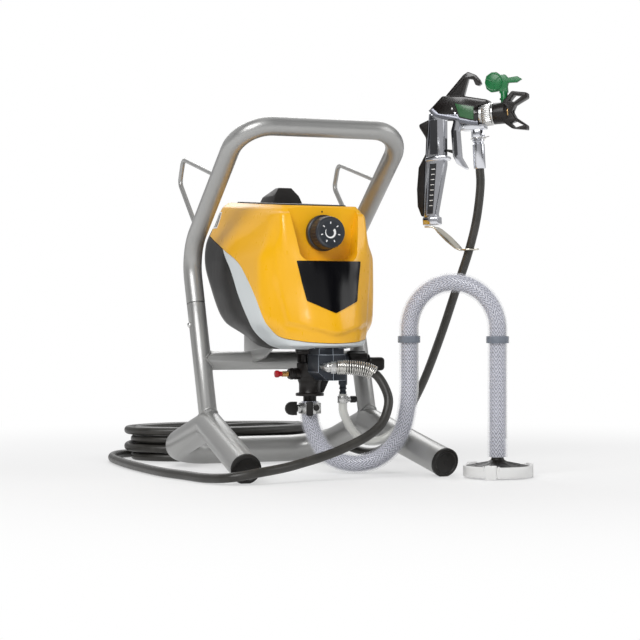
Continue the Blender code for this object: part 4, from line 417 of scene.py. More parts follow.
@dataclass(frozen=True)
class WorkedMetal(Finish):
    """Turned, brushed or polished metal with tool marks along one direction."""

    lines: Sequence[float] = (60.0, 900.0, 900.0)
    line_depth: float = 0.000012

    def shade(self, graph: Graph) -> None:
        """Tool marks in the normal and the gloss, and a faint film over it."""
        place = graph.place()
        marks = graph.noise(graph.stretched(place, self.lines), 1.0, 4.0, 0.6)
        film = graph.noise(place, 45.0, 3.0)
        self.lay(graph, self.tinted(graph, film, 1 - self.mottle, 1 + self.mottle),
                 self.roughness + (marks - 0.5) * 0.14 + (film - 0.5) * 0.08,
                 graph.bump(marks, self.line_depth))


@dataclass(frozen=True)
class HoseRubber(Finish):
    """The pressure hose's cover: smooth, with long extrusion lines and a dusty bloom."""

    def shade(self, graph: Graph) -> None:
        """Extrusion lines along the hose, bloom in the colour."""
        lines = graph.noise(graph.stretched(graph.node("ShaderNodeUVMap"), (70.0, 6.0, 1.0)), 1.0, 3.0)
        bloom = graph.noise(graph.place(), 60.0, 4.0, 0.6)
        self.lay(graph, self.tinted(graph, bloom.rise(0.35, 0.8), 0.85, 1.35),
                 self.roughness + (bloom - 0.5) * 0.22 + (lines - 0.5) * 0.08, graph.bump(lines, self.grain))


@dataclass(frozen=True)
class ClearVinyl(Finish):
    """See-through hose wall with a constant cover."""

    cover: float = 0.3

    def shade(self, graph: Graph) -> None:
        """Slight waviness in the gloss; the cover is the same all over."""
        wave = graph.noise(graph.place(), 90.0, 2.0)
        self.lay(graph, self.tinted(graph, wave, 0.96, 1.03), self.roughness + (wave - 0.5) * 0.08,
                 graph.bump(wave, self.grain), self.cover)


@dataclass(frozen=True)
class Braid(Finish):
    """Woven thread in a hose wall; the hose's own UV runs round it and along it."""

    columns: float = 7.0
    rows: float = 190.0
    lean: float = 1.5
    thread: Colour = (0.90, 0.91, 0.98)

    def shade(self, graph: Graph) -> None:
        """Herringbone of light threads with darker, open gaps between them."""
        round_it, down_it, _ = graph.parts(graph.node("ShaderNodeUVMap"))
        zigzag = abs((round_it * self.columns).fraction() - 0.5) * 2.0
        threads = abs((down_it * self.rows + zigzag * self.lean).fraction() - 0.5).rise(0.13, 0.30)
        cloud = graph.noise(graph.place(), 40.0, 2.0)
        self.lay(graph, graph.tint(threads, shade(self.colour, 0.9), self.thread),
                 self.roughness - threads * 0.1,
                 graph.bump(threads, self.grain), 0.14 + threads * 0.36 + cloud * 0.04)


@dataclass(frozen=True)
class BoardLacquer(Finish):
    """A circuit board's lacquer with its copper tracks."""

    def shade(self, graph: Graph) -> None:
        """Tracks as a cell pattern under green lacquer."""
        track = graph.node("ShaderNodeTexVoronoi", {"feature": "DISTANCE_TO_EDGE"},
                           {"Vector": graph.place(), "Scale": 260.0}).rise(0.10, 0.06)
        self.lay(graph, self.tinted(graph, track, 1.0, 1.9), self.roughness - track * 0.1,
                 graph.bump(track, self.grain))


@dataclass(frozen=True)
class Windings(Finish):
    """Lacquered copper wire laid in the armature's slots."""

    def shade(self, graph: Graph) -> None:
        """Bands of wire across laminated steel."""
        band = graph.node("ShaderNodeTexWave", {"bands_direction": "Y"},
                          {"Vector": graph.place(), "Scale": 320.0, "Distortion": 0.6})
        self.lay(graph, self.tinted(graph, band, 0.5, 1.0), self.roughness + band * 0.2,
                 graph.bump(band, 0.0001))


SILVER = SprayedPaint("satin_silver_paint", (0.40, 0.40, 0.392), 0.32, metallic=0.55, grain=0.00001,
                      slot="silver_paint")
SLATE = SprayedPaint("slate_block_paint", (0.020, 0.026, 0.037), 0.32, metallic=0.25, grain=0.00002,
                     slot="slate_paint")
# Pale bluish metal colour for the pump block's bevels: a painted highlight along its edges.
EDGE_HIGHLIGHT = WorkedMetal("block_edge_painted_highlight", (0.56, 0.62, 0.70), 0.30, metallic=0.6, slot="slate_paint")
YELLOW = MouldedPlastic("cover_yellow", (0.93, 0.475, 0.006), 0.30, coat=0.25, grain=0.000004, mottle=0.015,
                        slot="yellow_plastic")
TRIM = MouldedPlastic("trim_grey_plastic", (0.68, 0.72, 0.73), 0.34, grain=0.000006, mottle=0.02,
                      slot="trim_grey")
SHELL = MouldedPlastic("shell_grey_plastic", (0.012, 0.011, 0.0105), 0.36, grain=0.00001, specular=0.32,
                       slot="shell_grey")
LID = MouldedPlastic("lid_grey_plastic", (0.022, 0.020, 0.019), 0.44, grain=0.00003, specular=0.35,
                     slot="shell_grey")
DIAL = MouldedPlastic("dial_plastic", (0.018, 0.022, 0.029), 0.36, grain=0.00002, slot="shell_grey")
BADGE = MouldedPlastic("shield_gloss_black", (0.003, 0.003, 0.004), 0.18, grain=0.000002, specular=0.30,
                       slot="black_plastic")
BLACK = MouldedPlastic("black_plastic_grained", (0.012, 0.011, 0.010), 0.42, specular=0.35,
                       slot="black_plastic")
GUN_BLACK = MouldedPlastic("gun_black", (0.012, 0.010, 0.009), 0.34, grain=0.00001, specular=0.35,
                           slot="black_plastic")
GUN_GLOSS = MouldedPlastic("gun_gloss_black", (0.010, 0.008, 0.007), 0.20, coat=0.3, grain=0.000006,
                           slot="black_plastic")
# A darker copy of the polished alloy for the head's frame: the shade under the head is painted into its
# colour.
SHADED_CHROME = WorkedMetal("frame_chrome_painted_shade", (0.17, 0.175, 0.20), 0.30, metallic=0.7, slot="chrome")
# Near-black plates laid in the handle's channels and the trigger's slot: painted shade and dark reflection in
# those recesses.
CHANNEL_SHADE = MouldedPlastic("channel_painted_shade", (0.010, 0.011, 0.014), 0.30, coat=0.2, grain=0.00001, slot="chrome")
STEEL = WorkedMetal("zinc_steel", (0.62, 0.62, 0.61), 0.26, metallic=1.0, slot="steel")
SPRING = WorkedMetal("spring_steel", (0.66, 0.65, 0.62), 0.20, metallic=1.0, slot="steel")
CHROME = WorkedMetal("polished_alloy", (0.70, 0.71, 0.75), 0.12, metallic=1.0, line_depth=0.000004,
                     lines=(120.0, 120.0, 120.0), slot="chrome")
STRAP_STEEL = WorkedMetal("strap_steel", (0.66, 0.63, 0.55), 0.24, metallic=1.0, slot="steel")
BRASS = WorkedMetal("turned_brass", (0.72, 0.46, 0.19), 0.24, metallic=1.0, slot="steel")
RED = MouldedPlastic("button_red", (0.42, 0.004, 0.010), 0.32, slot="red_plastic")
RUBBER = HoseRubber("hose_cover", (0.036, 0.034, 0.030), 0.40, grain=0.00002, slot="hose_rubber")
VINYL = ClearVinyl("hose_outer_wall", (0.88, 0.89, 0.97), 0.12, coat=0.4, grain=0.00004, slot="clear_hose",
                   cover=0.13)
CORE = ClearVinyl("hose_inner_wall", (0.70, 0.72, 0.84), 0.40, slot="clear_hose", cover=0.16)
BRAID = Braid("hose_braid", (0.56, 0.58, 0.72), 0.45, grain=0.00015, slot="clear_hose")
RETURN_VINYL = ClearVinyl("return_tube_wall", (0.80, 0.80, 0.76), 0.16, coat=0.3, grain=0.00003,
                          slot="clear_hose", cover=0.62)
CLIP = ClearVinyl("clip_smoke", (0.24, 0.27, 0.32), 0.25, slot="trim_grey", cover=0.62)
WHITE = MouldedPlastic("filter_white", (0.80, 0.80, 0.79), 0.34, grain=0.00001, mottle=0.015,
                       slot="white_plastic")
GREEN = MouldedPlastic("tip_green", (0.003, 0.155, 0.040), 0.30, grain=0.00001, slot="green_plastic")
PLATE_GREEN = MouldedPlastic("panel_green", (0.032, 0.125, 0.045), 0.30, coat=0.1, slot="green_plastic")
MARK = MouldedPlastic("dial_mark_white", (0.86, 0.86, 0.86), 0.40, slot="shell_grey")
BOARD = BoardLacquer("board_lacquer", (0.015, 0.11, 0.04), 0.35, slot="circuit_board")
COPPER = Windings("armature_windings", (0.55, 0.22, 0.10), 0.35, metallic=0.8, slot="copper")


# ======================================================================= mesh making
class Join(Enum):
    """How two closed meshes are put together."""

    UNITE = "UNION"
    CARVE = "DIFFERENCE"
    COMMON = "INTERSECT"


class Stock:
    """Closed meshes in the design frame, which the pieces are cut from."""

    @staticmethod
    def adopt(mesh: bpy.types.Mesh) -> Thing:
        """Put a mesh in the scene as an object."""
        thing = bpy.data.objects.new("stock", mesh)
        bpy.context.scene.collection.objects.link(thing)
        return thing

    @staticmethod
    def from_bmesh(bm: bmesh.types.BMesh, matrix: Matrix | None = None) -> Thing:
        """Turn edited geometry into an object, with its faces turned outward."""
        bmesh.ops.recalc_face_normals(bm, faces=bm.faces)
        if matrix is not None:
            bm.transform(matrix)
        mesh = bpy.data.meshes.new("stock")
        bm.to_mesh(mesh)
        bm.free()
        return Stock.adopt(mesh)

    @staticmethod
    def aim(start: Sequence[float], direction: Sequence[float]) -> Matrix:
        """Give the matrix that carries +Z onto a direction and the origin onto a start."""
        turn = Vector(direction).normalized().to_track_quat("Z", "Y").to_matrix().to_4x4()
        return Matrix.Translation(Vector(start)) @ turn

    @staticmethod
    def block(low: Sequence[float], high: Sequence[float]) -> Thing:
        """Make a box between two corners."""
        low, high = Vector(low), Vector(high)
        size = high - low
        bm = bmesh.new()
        bmesh.ops.create_cube(bm, size=1.0)
        return Stock.from_bmesh(bm, Matrix.Translation((low + high) / 2) @ Matrix.Diagonal((*size, 1.0)))

    @staticmethod
    def turned(profile: Points, start: Sequence[float], axis: Sequence[float], steps: int = 48) -> Thing:
        """Turn a profile about an axis.

        Args:
            profile: (radius, height) points, from one end of the outside to the other.
            start: Where height 0 is.
            axis: The direction of the heights.
            steps: How many sides the piece has.

        Returns:
            The turned piece; it is hollow if no point of the profile is on the axis.
        """
        bm = bmesh.new()
        rings: list[list[bmesh.types.BMVert]] = []
        for radius, height in profile:
            if radius < 1e-9:
                rings.append([bm.verts.new((0.0, 0.0, height))])
                continue
            rings.append([bm.verts.new((*polar(radius, turn), height)) for turn in around(steps)])
        hollow = min(radius for radius, _ in profile) > 1e-9
        pairs = list(zip(rings, rings[1:])) + ([(rings[-1], rings[0])] if hollow else [])
        for one, two in pairs:
            if len(one) == len(two) == 1:
                continue
            for i in range(steps):
                j = (i + 1) % steps
                ends = (one[i % len(one)], one[j % len(one)], two[j % len(two)], two[i % len(two)])
                bm.faces.new(list(dict.fromkeys(ends)))
        return Stock.from_bmesh(bm, Stock.aim(start, axis))

    @staticmethod
    def cylinder(start: Sequence[float], end: Sequence[float], radius: float, sides: int = 48) -> Thing:
        """Make a round rod between two points."""
        start, end = Vector(start), Vector(end)
        length = (end - start).length
        profile = [(0.0, length), (radius, length), (radius, 0.0), (0.0, 0.0)]
        return Stock.turned(profile, start, end - start, sides)

    @staticmethod
    def plate(outline: Points, half: float, matrix: Matrix) -> Thing:
        """Extrude a flat outline by half a thickness to either side.

        Args:
            outline: The corners in the plate's own plane.
            half: Half the thickness.
            matrix: What carries the XY plane onto the plate's plane.

        Returns:
            The plate.
        """
        plate = Stock.loft([[(*corner, z) for corner in outline] for z in (-half, half)])
        return Bench.moved(plate, matrix)

    @staticmethod
    def loft(rings: Sequence[Points]) -> Thing:
        """Skin closed rings of equally many points, in order, and close both ends."""
        bm = bmesh.new()
        made = [[bm.verts.new(point) for point in ring] for ring in rings]
        for lower, upper in zip(made, made[1:]):
            for i in range(len(lower)):
                j = (i + 1) % len(lower)
                bm.faces.new((lower[i], lower[j], upper[j], upper[i]))
        bm.faces.new(list(reversed(made[0])))
        bm.faces.new(made[-1])
        return Stock.from_bmesh(bm)

    @staticmethod
    def side(x: float = 0.0) -> Matrix:
        """Give the plane square to X in which an outline is (y, z)."""
        return Matrix(((0, 0, 1, x), (1, 0, 0, 0), (0, 1, 0, 0), (0, 0, 0, 1)))

    @staticmethod
    def front(y: float = 0.0) -> Matrix:
        """Give the plane square to Y in which an outline is (x, z)."""
        return Matrix(((1, 0, 0, 0), (0, 0, -1, y), (0, 1, 0, 0), (0, 0, 0, 1)))

    @staticmethod
    def sweep(points: Points, radius: float, sides: int = 24, hollow: float = 0.0) -> Thing:
        """Make a round tube along points, with UV round it and along it in metres.

        Args:
            points: The centreline.
            radius: The tube's outer radius.
            sides: How many sides it has.
            hollow: The inner radius of an open pipe, or 0 for a rod with closed ends.

        Returns:
            The tube.
        """
        line = [Vector(point) for point in points]
        bm = bmesh.new()
        uv = bm.loops.layers.uv.new("UVMap")
        side = (line[1] - line[0]).orthogonal().normalized()
        rings, marks, travelled = [], [], 0.0
        for index, point in enumerate(line):
            ahead = (line[min(index + 1, len(line) - 1)] - line[max(index - 1, 0)]).normalized()
            side = (side - ahead * side.dot(ahead)).normalized()
            other = ahead.cross(side)
            if index:
                travelled += (point - line[index - 1]).length
            arms = [side * math.cos(turn) + other * math.sin(turn) for turn in around(sides)]
            rings.append(([bm.verts.new(point + arm * radius) for arm in arms],
                          [bm.verts.new(point + arm * hollow) for arm in arms] if hollow else []))
            marks.append(travelled)
        for index in range(len(line) - 1):
            for layer in ((0, 1) if hollow else (0,)):
                first, second = rings[index][layer], rings[index + 1][layer]
                for i in range(sides):
                    j = (i + 1) % sides
                    face = bm.faces.new((first[i], first[j], second[j], second[i]))
                    places = ((i, index), (i + 1, index), (i + 1, index + 1), (i, index + 1))
                    for loop, (turn, along) in zip(face.loops, places):
                        loop[uv].uv = (turn / sides, marks[along])
        for outer, inner in (rings[0], rings[-1]):
            if hollow:
                for i in range(sides):
                    j = (i + 1) % sides
                    bm.faces.new((outer[i], outer[j], inner[j], inner[i]))
            else:
                bm.faces.new(outer)
        return Stock.from_bmesh(bm)


class Bench:
    """Operations on closed meshes, and the hand-over of finished pieces."""

    @staticmethod
    def settle(thing: Thing) -> Thing:
        """Apply an object's modifiers to its mesh."""
        bpy.context.view_layer.update()
        graph = bpy.context.evaluated_depsgraph_get()
        mesh = bpy.data.meshes.new_from_object(thing.evaluated_get(graph))
        thing.modifiers.clear()
        thing.data = mesh
        return thing

    @staticmethod
    def moved(thing: Thing, matrix: Matrix) -> Thing:
        """Carry a mesh by a matrix."""
        thing.data.transform(matrix)
        return thing

    @staticmethod
    def combine(how: Join, target: Thing, *others: Thing) -> Thing:
        """Join, cut or intersect a mesh with others, which are used up.

        Args:
            how: The way that they are combined.
            target: The mesh that is kept.
            others: The meshes that it is combined with.

        Returns:
            The target.
        """
        for other in others:
            step = target.modifiers.new("combine", "BOOLEAN")
            step.operation, step.solver, step.object = how.value, "EXACT", other
        Bench.settle(target)
        for other in others:
            bpy.data.objects.remove(other, do_unlink=True)
        return target

    @staticmethod
    def gather(*things: Thing) -> Thing:
        """Put several meshes in one object without cutting them."""
        bm = bmesh.new()
        for thing in things:
            bm.from_mesh(thing.data)
        for thing in things:
            bpy.data.objects.remove(thing, do_unlink=True)
        mesh = bpy.data.meshes.new("stock")
        bm.to_mesh(mesh)
        bm.free()
        return Stock.adopt(mesh)

    @staticmethod
    def ease(thing: Thing, width: float, segments: int = 3, degrees: float = 32.0) -> Thing:
        """Round the edges that are sharper than an angle."""
        step = thing.modifiers.new("edges", "BEVEL")
        step.width, step.segments, step.limit_method = width, segments, "ANGLE"
        step.angle_limit, step.use_clamp_overlap = math.radians(degrees), True
        return Bench.settle(thing)

    @staticmethod
    def slice_off(thing: Thing, point: Sequence[float], normal: Sequence[float]) -> Thing:
        """Cut a closed mesh by a plane and drop the side that the normal points to."""
        bm = bmesh.new()
        bm.from_mesh(thing.data)
        cut = bmesh.ops.bisect_plane(bm, geom=bm.verts[:] + bm.edges[:] + bm.faces[:], dist=1e-6,
                                     plane_co=Vector(point), plane_no=Vector(normal), clear_outer=True)
        edges = [item for item in cut["geom_cut"] if isinstance(item, bmesh.types.BMEdge)]
        bmesh.ops.edgeloop_fill(bm, edges=edges)
        bmesh.ops.recalc_face_normals(bm, faces=bm.faces)
        bm.to_mesh(thing.data)
        bm.free()
        return thing

    @staticmethod
    def deliver(thing: Thing, name: str, finish: Finish, body: str = "machine",
                stands_for: Iterable[str] = (), place: Matrix | None = None, degrees: float = 32.0) -> Thing:
        """Finish a piece: shift it to the row frame, name it, dress it and let it ride.

        Args:
            thing: The piece, with its modifiers applied.
            name: Its name.
            finish: Its surface finish.
            body: The body that it moves with.
            stands_for: The frame's nodes that it replaces.
            place: A matrix from the piece's own frame to the design frame.
            degrees: Edges sharper than this stay sharp in the shading.

        Returns:
            The piece.
        """
        mesh = thing.data
        mesh.transform(Matrix.Translation(SHIFT) @ (place or Matrix.Identity(4)))
        mesh.name = thing.name = name
        mesh.materials.clear()
        mesh.materials.append(finish.material())
        mesh.shade_smooth()
        mesh.set_sharp_from_angle(angle=math.radians(degrees))
        if stands_for:
            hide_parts(*stands_for)
        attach(thing, body)
        LOG.info("%s: %d faces on %s", name, len(mesh.polygons), body)
        return thing


class Route:
    """Lines that tubes and hoses follow."""

    @staticmethod
    def bent(corners: Points, radius: float, steps: int = 10) -> list[Vector]:
        """Join straight runs by arcs of one radius, as a bent tube has them."""
        points = [Vector(corners[0])]
        for before, corner, after in zip(corners, corners[1:], corners[2:]):
            corner = Vector(corner)
            into = (corner - Vector(before)).normalized()
            out = (Vector(after) - corner).normalized()
            turn = into.angle(out)
            centre = corner + (out - into).normalized() * (radius / math.cos(turn / 2))
            axis = into.cross(out).normalized()
            arm = corner - into * (radius * math.tan(turn / 2)) - centre
            points += [centre + Matrix.Rotation(turn * step / steps, 3, axis) @ arm
                       for step in range(steps + 1)]
        points.append(Vector(corners[-1]))
        return points

    @staticmethod
    def smooth(route: Points, spacing: float) -> list[Vector]:
        """Lay even points on a centripetal curve through a route's points."""
        line = [Vector(point) for point in route]
        ends = [line[0] * 2 - line[1], *line, line[-1] * 2 - line[-2]]
        dense = []
        for p0, p1, p2, p3 in zip(ends, ends[1:], ends[2:], ends[3:]):
            t1 = max((p1 - p0).length, 1e-6) ** 0.5
            t2 = t1 + max((p2 - p1).length, 1e-6) ** 0.5
            t3 = t2 + max((p3 - p2).length, 1e-6) ** 0.5
            for step in range(16):
                t = t1 + (t2 - t1) * step / 16
                a1 = p0 * ((t1 - t) / t1) + p1 * (t / t1)
                a2 = p1 * ((t2 - t) / (t2 - t1)) + p2 * ((t - t1) / (t2 - t1))
                a3 = p2 * ((t3 - t) / (t3 - t2)) + p3 * ((t - t2) / (t3 - t2))
                b1 = a1 * ((t2 - t) / t2) + a2 * (t / t2)
                b2 = a2 * ((t3 - t) / (t3 - t1)) + a3 * ((t - t1) / (t3 - t1))
                dense.append(b1 * ((t2 - t) / (t2 - t1)) + b2 * ((t - t1) / (t2 - t1)))
        dense.append(line[-1])
        return Route.even(dense, spacing)

    @staticmethod
    def even(dense: Sequence[Vector], spacing: float) -> list[Vector]:
        """Lay points at an even distance along a line."""
        lengths = [0.0]
        for first, second in zip(dense, dense[1:]):
            lengths.append(lengths[-1] + (second - first).length)
        count = max(2, round(lengths[-1] / spacing))
        points, index = [], 0
        for step in range(count + 1):
            target = lengths[-1] * step / count
            while index < len(dense) - 2 and lengths[index + 1] < target:
                index += 1
            span = lengths[index + 1] - lengths[index]
            points.append(dense[index].lerp(dense[index + 1], (target - lengths[index]) / span))
        return points


def grown(outline: Points, distance: float) -> list[tuple[float, ...]]:
    """Offset a closed outline outward by a distance, whichever way it runs."""
    here = [Vector(corner) for corner in outline]
    after = here[1:] + here[:1]
    before = here[-1:] + here[:-1]
    side = 1.0 if sum(a.x * b.y - b.x * a.y for a, b in zip(here, after)) > 0 else -1.0
    result = []
    for last, corner, following in zip(before, here, after):
        first, second = (corner - last).normalized(), (following - corner).normalized()
        normal = (Vector((first.y + second.y, -first.x - second.x)) * side).normalized()
        lean = max(0.35, normal.dot(Vector((second.y, -second.x)) * side))
        result.append(tuple(corner + normal * (distance / lean)))
    return result


# ============================================================================ studio
@dataclass
class Studio:
    """Camera, floor, world and lamps."""

    camera_place: Sequence[float] = (-1.0716, -2.5100, 0.2057)
    camera_way: Sequence[float] = (0.4064, 0.9137, 0.0)
    lens: float = 111.91
    floor_colour: Colour = (0.86, 0.86, 0.86)
    floor_glow: float = 0.46
    floor_fade: Sequence[float] = (0.45, 1.35)
    world_level: float = 0.66
    flags: Sequence[float] = (-176.0, -52.0)

    def build(self) -> None:
        """Set the view transform, camera, floor, world and lamps."""
        bpy.context.scene.view_settings.view_transform = "Standard"
        self.make_camera()
        self.make_floor()
        self.make_world()
        self.lamp("key", (-2.1, -2.0, 2.2), 1.8, 72.0)
        self.lamp("fill", (2.4, -1.6, 1.5), 1.8, 22.0)
        self.lamp("rim", (0.6, 2.4, 2.2), 2.0, 34.0)

    def make_camera(self) -> None:
        """Stand the camera where the photographer's was."""
        data = bpy.data.cameras.new("camera")
        data.lens, data.sensor_width, data.clip_end = self.lens, 36.0, 50.0
        camera = bpy.data.objects.new("camera", data)
        bpy.context.scene.collection.objects.link(camera)
        camera.location = Vector(self.camera_place) + SHIFT
        camera.rotation_euler = Vector(self.camera_way).to_track_quat("-Z", "Y").to_euler()
        bpy.context.scene.camera = camera

    def make_floor(self) -> None:
        """Lay a pale floor that keeps the shadow and fades to white."""
        floor = Stock.block((-30.0, -30.0, -0.004), (30.0, 30.0, -0.0002))
        floor.name = "floor"
        material = bpy.data.materials.new("floor_white")
        material.use_nodes = True
        graph = Graph(material.node_tree)
        seen = graph.rays("Camera", "Glossy", "Transmission")
        matt = graph.node("ShaderNodeBsdfDiffuse", None, {"Color": self.floor_colour})
        glow = graph.node("ShaderNodeEmission", None, {"Color": (1.0, 1.0, 1.0), "Strength": 1.0})
        flat = graph.stretched(graph.place(), (1.0, 1.0, 0.0))
        reach = graph.node("ShaderNodeVectorMath", {"operation": "LENGTH"}, {0: flat}, "Value")
        far = reach.rise(*self.floor_fade) * (1.0 - self.floor_glow) + self.floor_glow
        graph.end(graph.node("ShaderNodeMixShader", None, {0: seen * far, 1: matt, 2: glow}))
        floor.data.materials.append(material)
        floor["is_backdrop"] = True

    def make_world(self) -> None:
        """Light softly from all round, brighter from above, and show white behind."""
        world = bpy.data.worlds.new("studio")
        bpy.context.scene.world = world
        world.use_nodes = True
        graph = Graph(world.node_tree)
        across, along, up = graph.parts(graph.node("ShaderNodeTexCoord", output="Generated"))
        level = graph.tint(up.rise(-0.25, 0.9), (0.50, 0.50, 0.51), (1.0, 1.0, 1.0))
        for degrees in self.flags:
            fx, fy = polar(1.0, math.radians(degrees))
            narrow = abs(across * -fy + along * fx).rise(0.46, 0.28)
            flag = narrow & (across * fx + along * fy).rise(0.10, 0.40)
            level = graph.tint(flag, level, (0.03, 0.03, 0.035))
        ambient = graph.node("ShaderNodeBackground", None, {"Color": level, "Strength": self.world_level})
        behind = graph.node("ShaderNodeBackground", None, {"Color": (1.0, 1.0, 1.0), "Strength": 1.0})
        mix = {0: graph.rays("Camera", "Transmission"), 1: ambient, 2: behind}
        graph.end(graph.node("ShaderNodeMixShader", None, mix), "ShaderNodeOutputWorld")

    @staticmethod
    def lamp(name: str, place: Sequence[float], size: float, power: float) -> None:
        """Hang a square soft lamp that looks at the machine."""
        data = bpy.data.lights.new(name, "AREA")
        data.shape, data.size, data.energy = "SQUARE", size, power
        lamp = bpy.data.objects.new(name, data)
        bpy.context.scene.collection.objects.link(lamp)
        lamp.location = place
        lamp.rotation_euler = (Vector((0.0, 0.0, 0.2)) - Vector(place)).to_track_quat("-Z", "Y").to_euler()


# ============================================================================= stand
@dataclass
class Stand:
    """Bent tubes, brackets, hangers and caps that carry the machine."""

    floor_radius: float = 0.0190
    tube_radius: float = 0.0127
    half_width: float = 0.1186
    apex_height: float = 0.0647
    rear_y: float = 0.1614
    rear_spread: float = 0.0030
    rear_bend: float = 0.060
    foot_y: float = -0.1858
    foot_splay: float = 0.0218
    bend: Sequence[float] = (0.0736, 0.2993)
    bend_radius: float = 0.060
    handle: Sequence[float] = (-0.1127, 0.4590)
    handle_radius: float = 0.047
    split_height: float = 0.2270
    crossbar_height: float = 0.1503
    hanger_radius: float = 0.00325
    hanger_bend: float = 0.012
    run_past: float = 0.02
    cap_depth: float = 0.0183

    def joint(self, side: int, name: str) -> Vector:
        """Give one of the main joints of the tubes on a side.

        Args:
            side: -1 left, +1 right.
            name: ``apex``, ``rear``, ``foot``, ``bend`` or ``top``.

        Returns:
            The point in the design frame.
        """
        x = side * self.half_width
        return {
            "apex": Vector((x, 0.0, self.apex_height)),
            "rear": Vector((x + side * self.rear_spread, self.rear_y, self.floor_radius)),
            "foot": Vector((x + side * self.foot_splay, self.foot_y, self.floor_radius)),
            "bend": Vector((x, *self.bend)),
            "top": Vector((x, *self.handle)),
        }[name]

    def on_upright(self, side: int, height: float) -> Vector:
        """Give the point of an upright's axis at a height."""
        share = (height - self.apex_height) / (self.bend[1] - self.apex_height)
        return self.joint(side, "apex").lerp(self.joint(side, "bend"), share)

    def mitre(self, side: int) -> Vector:
        """Give the direction square to the mitre of a side's two floor tubes."""
        back, fore = ((self.joint(side, end) - self.joint(side, "apex")).normalized()
                      for end in ("rear", "foot"))
        return (back - fore).normalized()

    def build(self) -> None:
        """Build every piece of the stand."""
        self.make_floor_tube()
        self.make_handle_frame()
        for side, label in SIDES:
            for make in (self.make_leg, self.make_hanger, self.make_welds, self.make_cap_face):
                make(side, label)

    def make_floor_tube(self) -> None:
        """Bend the rear tube that lies on the floor and mitre its ends."""
        left, right = ((self.joint(side, "apex"), self.joint(side, "rear")) for side in (-1, 1))
        starts = [apex - (rear - apex).normalized() * self.run_past for apex, rear in (left, right)]
        line = Route.bent([starts[0], left[1], right[1], starts[1]], self.rear_bend, 14)
        pipe = Stock.sweep(line, self.floor_radius, 40)
        for side in (-1, 1):
            Bench.slice_off(pipe, self.joint(side, "apex") + self.mitre(side) * (GAP / 2), -self.mitre(side))
        Bench.deliver(pipe, "rear_floor_tube_bent", SILVER, stands_for=["rear_floor_tube"])

    def make_leg(self, side: int, label: str) -> None:
        """Make a front leg with its open end behind the cap."""
        apex, foot = self.joint(side, "apex"), self.joint(side, "foot")
        way = (foot - apex).normalized()
        length, bore = (foot - apex).length + self.run_past, 0.0153
        deep = length - self.cap_depth
        leg = Stock.turned([(0.0, 0.0), (self.floor_radius, 0.0), (self.floor_radius, length), (bore, length),
                            (bore, deep), (0.0, deep)], apex - way * self.run_past, way, 40)
        Bench.slice_off(leg, apex - self.mitre(side) * (GAP / 2), self.mitre(side))
        Bench.deliver(leg, f"front_leg_{label}_tube", SILVER, stands_for=[f"front_leg_{label}"])

    def make_handle_frame(self) -> None:
        """Bend the handle frame in one tube, with its swaged ends in the uprights."""
        low, high = (self.on_upright(side, self.split_height + 0.0012) for side in (-1, 1))
        left_bend, left_top = self.joint(-1, "bend"), self.joint(-1, "top")
        right_bend, right_top = self.joint(1, "bend"), self.joint(1, "top")
        left_mid, right_mid = (left_bend + left_top) / 2, (right_bend + right_top) / 2
        line = (Route.bent([low, left_bend, left_mid], self.bend_radius, 12)[:-1]
                + Route.bent([left_mid, left_top, right_top, right_mid], self.handle_radius, 14)[1:-1]
                + Route.bent([right_mid, right_bend, high], self.bend_radius, 12)[1:])
        pipe = Stock.sweep(line, self.tube_radius, 36)
        tails = []
        for side in (-1, 1):
            top = self.on_upright(side, self.split_height)
            way = (self.joint(side, "bend") - top).normalized()
            tails.append(Stock.cylinder(top - way * 0.020, top + way * 0.004, self.tube_radius - 0.0019, 36))
        Bench.deliver(Bench.gather(pipe, *tails), "handle_frame_tube", SILVER, stands_for=["handle_frame"])

    def make_hanger(self, side: int, label: str) -> None:
        """Bend a hose hanger from round wire, with its ends at the tube's face."""
        corners = [(side * self.half_width, y, z)
                   for y, z in tenths((-370, 3960), (1010, 4300), (1150, 3970), (450, 3280))]
        line = Route.bent(corners, self.hanger_bend, 8)
        line[0] = line[0] + (line[1] - line[0]).normalized() * 0.0125
        line[-1] = line[-1] + (line[-2] - line[-1]).normalized() * 0.0120
        wire = Stock.sweep(line, self.hanger_radius, 20)
        Bench.deliver(wire, f"hose_hanger_{label}_wire", SILVER, stands_for=[f"hose_hanger_{label}"])

    def make_welds(self, side: int, label: str) -> None:
        """Run weld beads round the cross tube's end and the upright's foot."""
        up = (self.joint(side, "bend") - self.joint(side, "apex")).normalized()
        across, radius = X * -side, self.tube_radius
        third = up.cross(across).normalized()
        centre = self.on_upright(side, self.crossbar_height)
        ring = []
        for turn in around(48, closed=True):
            reach, lift = polar(radius, turn)
            proud = abs(reach) + 0.0004 + 0.00018 * math.sin(turn * 17)
            ring.append(centre + up * reach + third * lift + across * proud)
        foot = self.joint(side, "apex") + up * (self.floor_radius + 0.0010)
        fore = up.orthogonal().normalized()
        lean = up.cross(fore)
        collar = []
        for turn in around(48, closed=True):
            arm = fore * math.cos(turn) + lean * math.sin(turn)
            proud = radius + 0.0001 + 0.00015 * math.sin(turn * 19)
            collar.append(foot + arm * proud - up * (arm.x ** 2 * 0.0062))
        beads = Bench.gather(Stock.sweep(ring, 0.0013, 8), Stock.sweep(collar, 0.0012, 8))
        Bench.deliver(beads, f"weld_beads_{label}", SILVER)

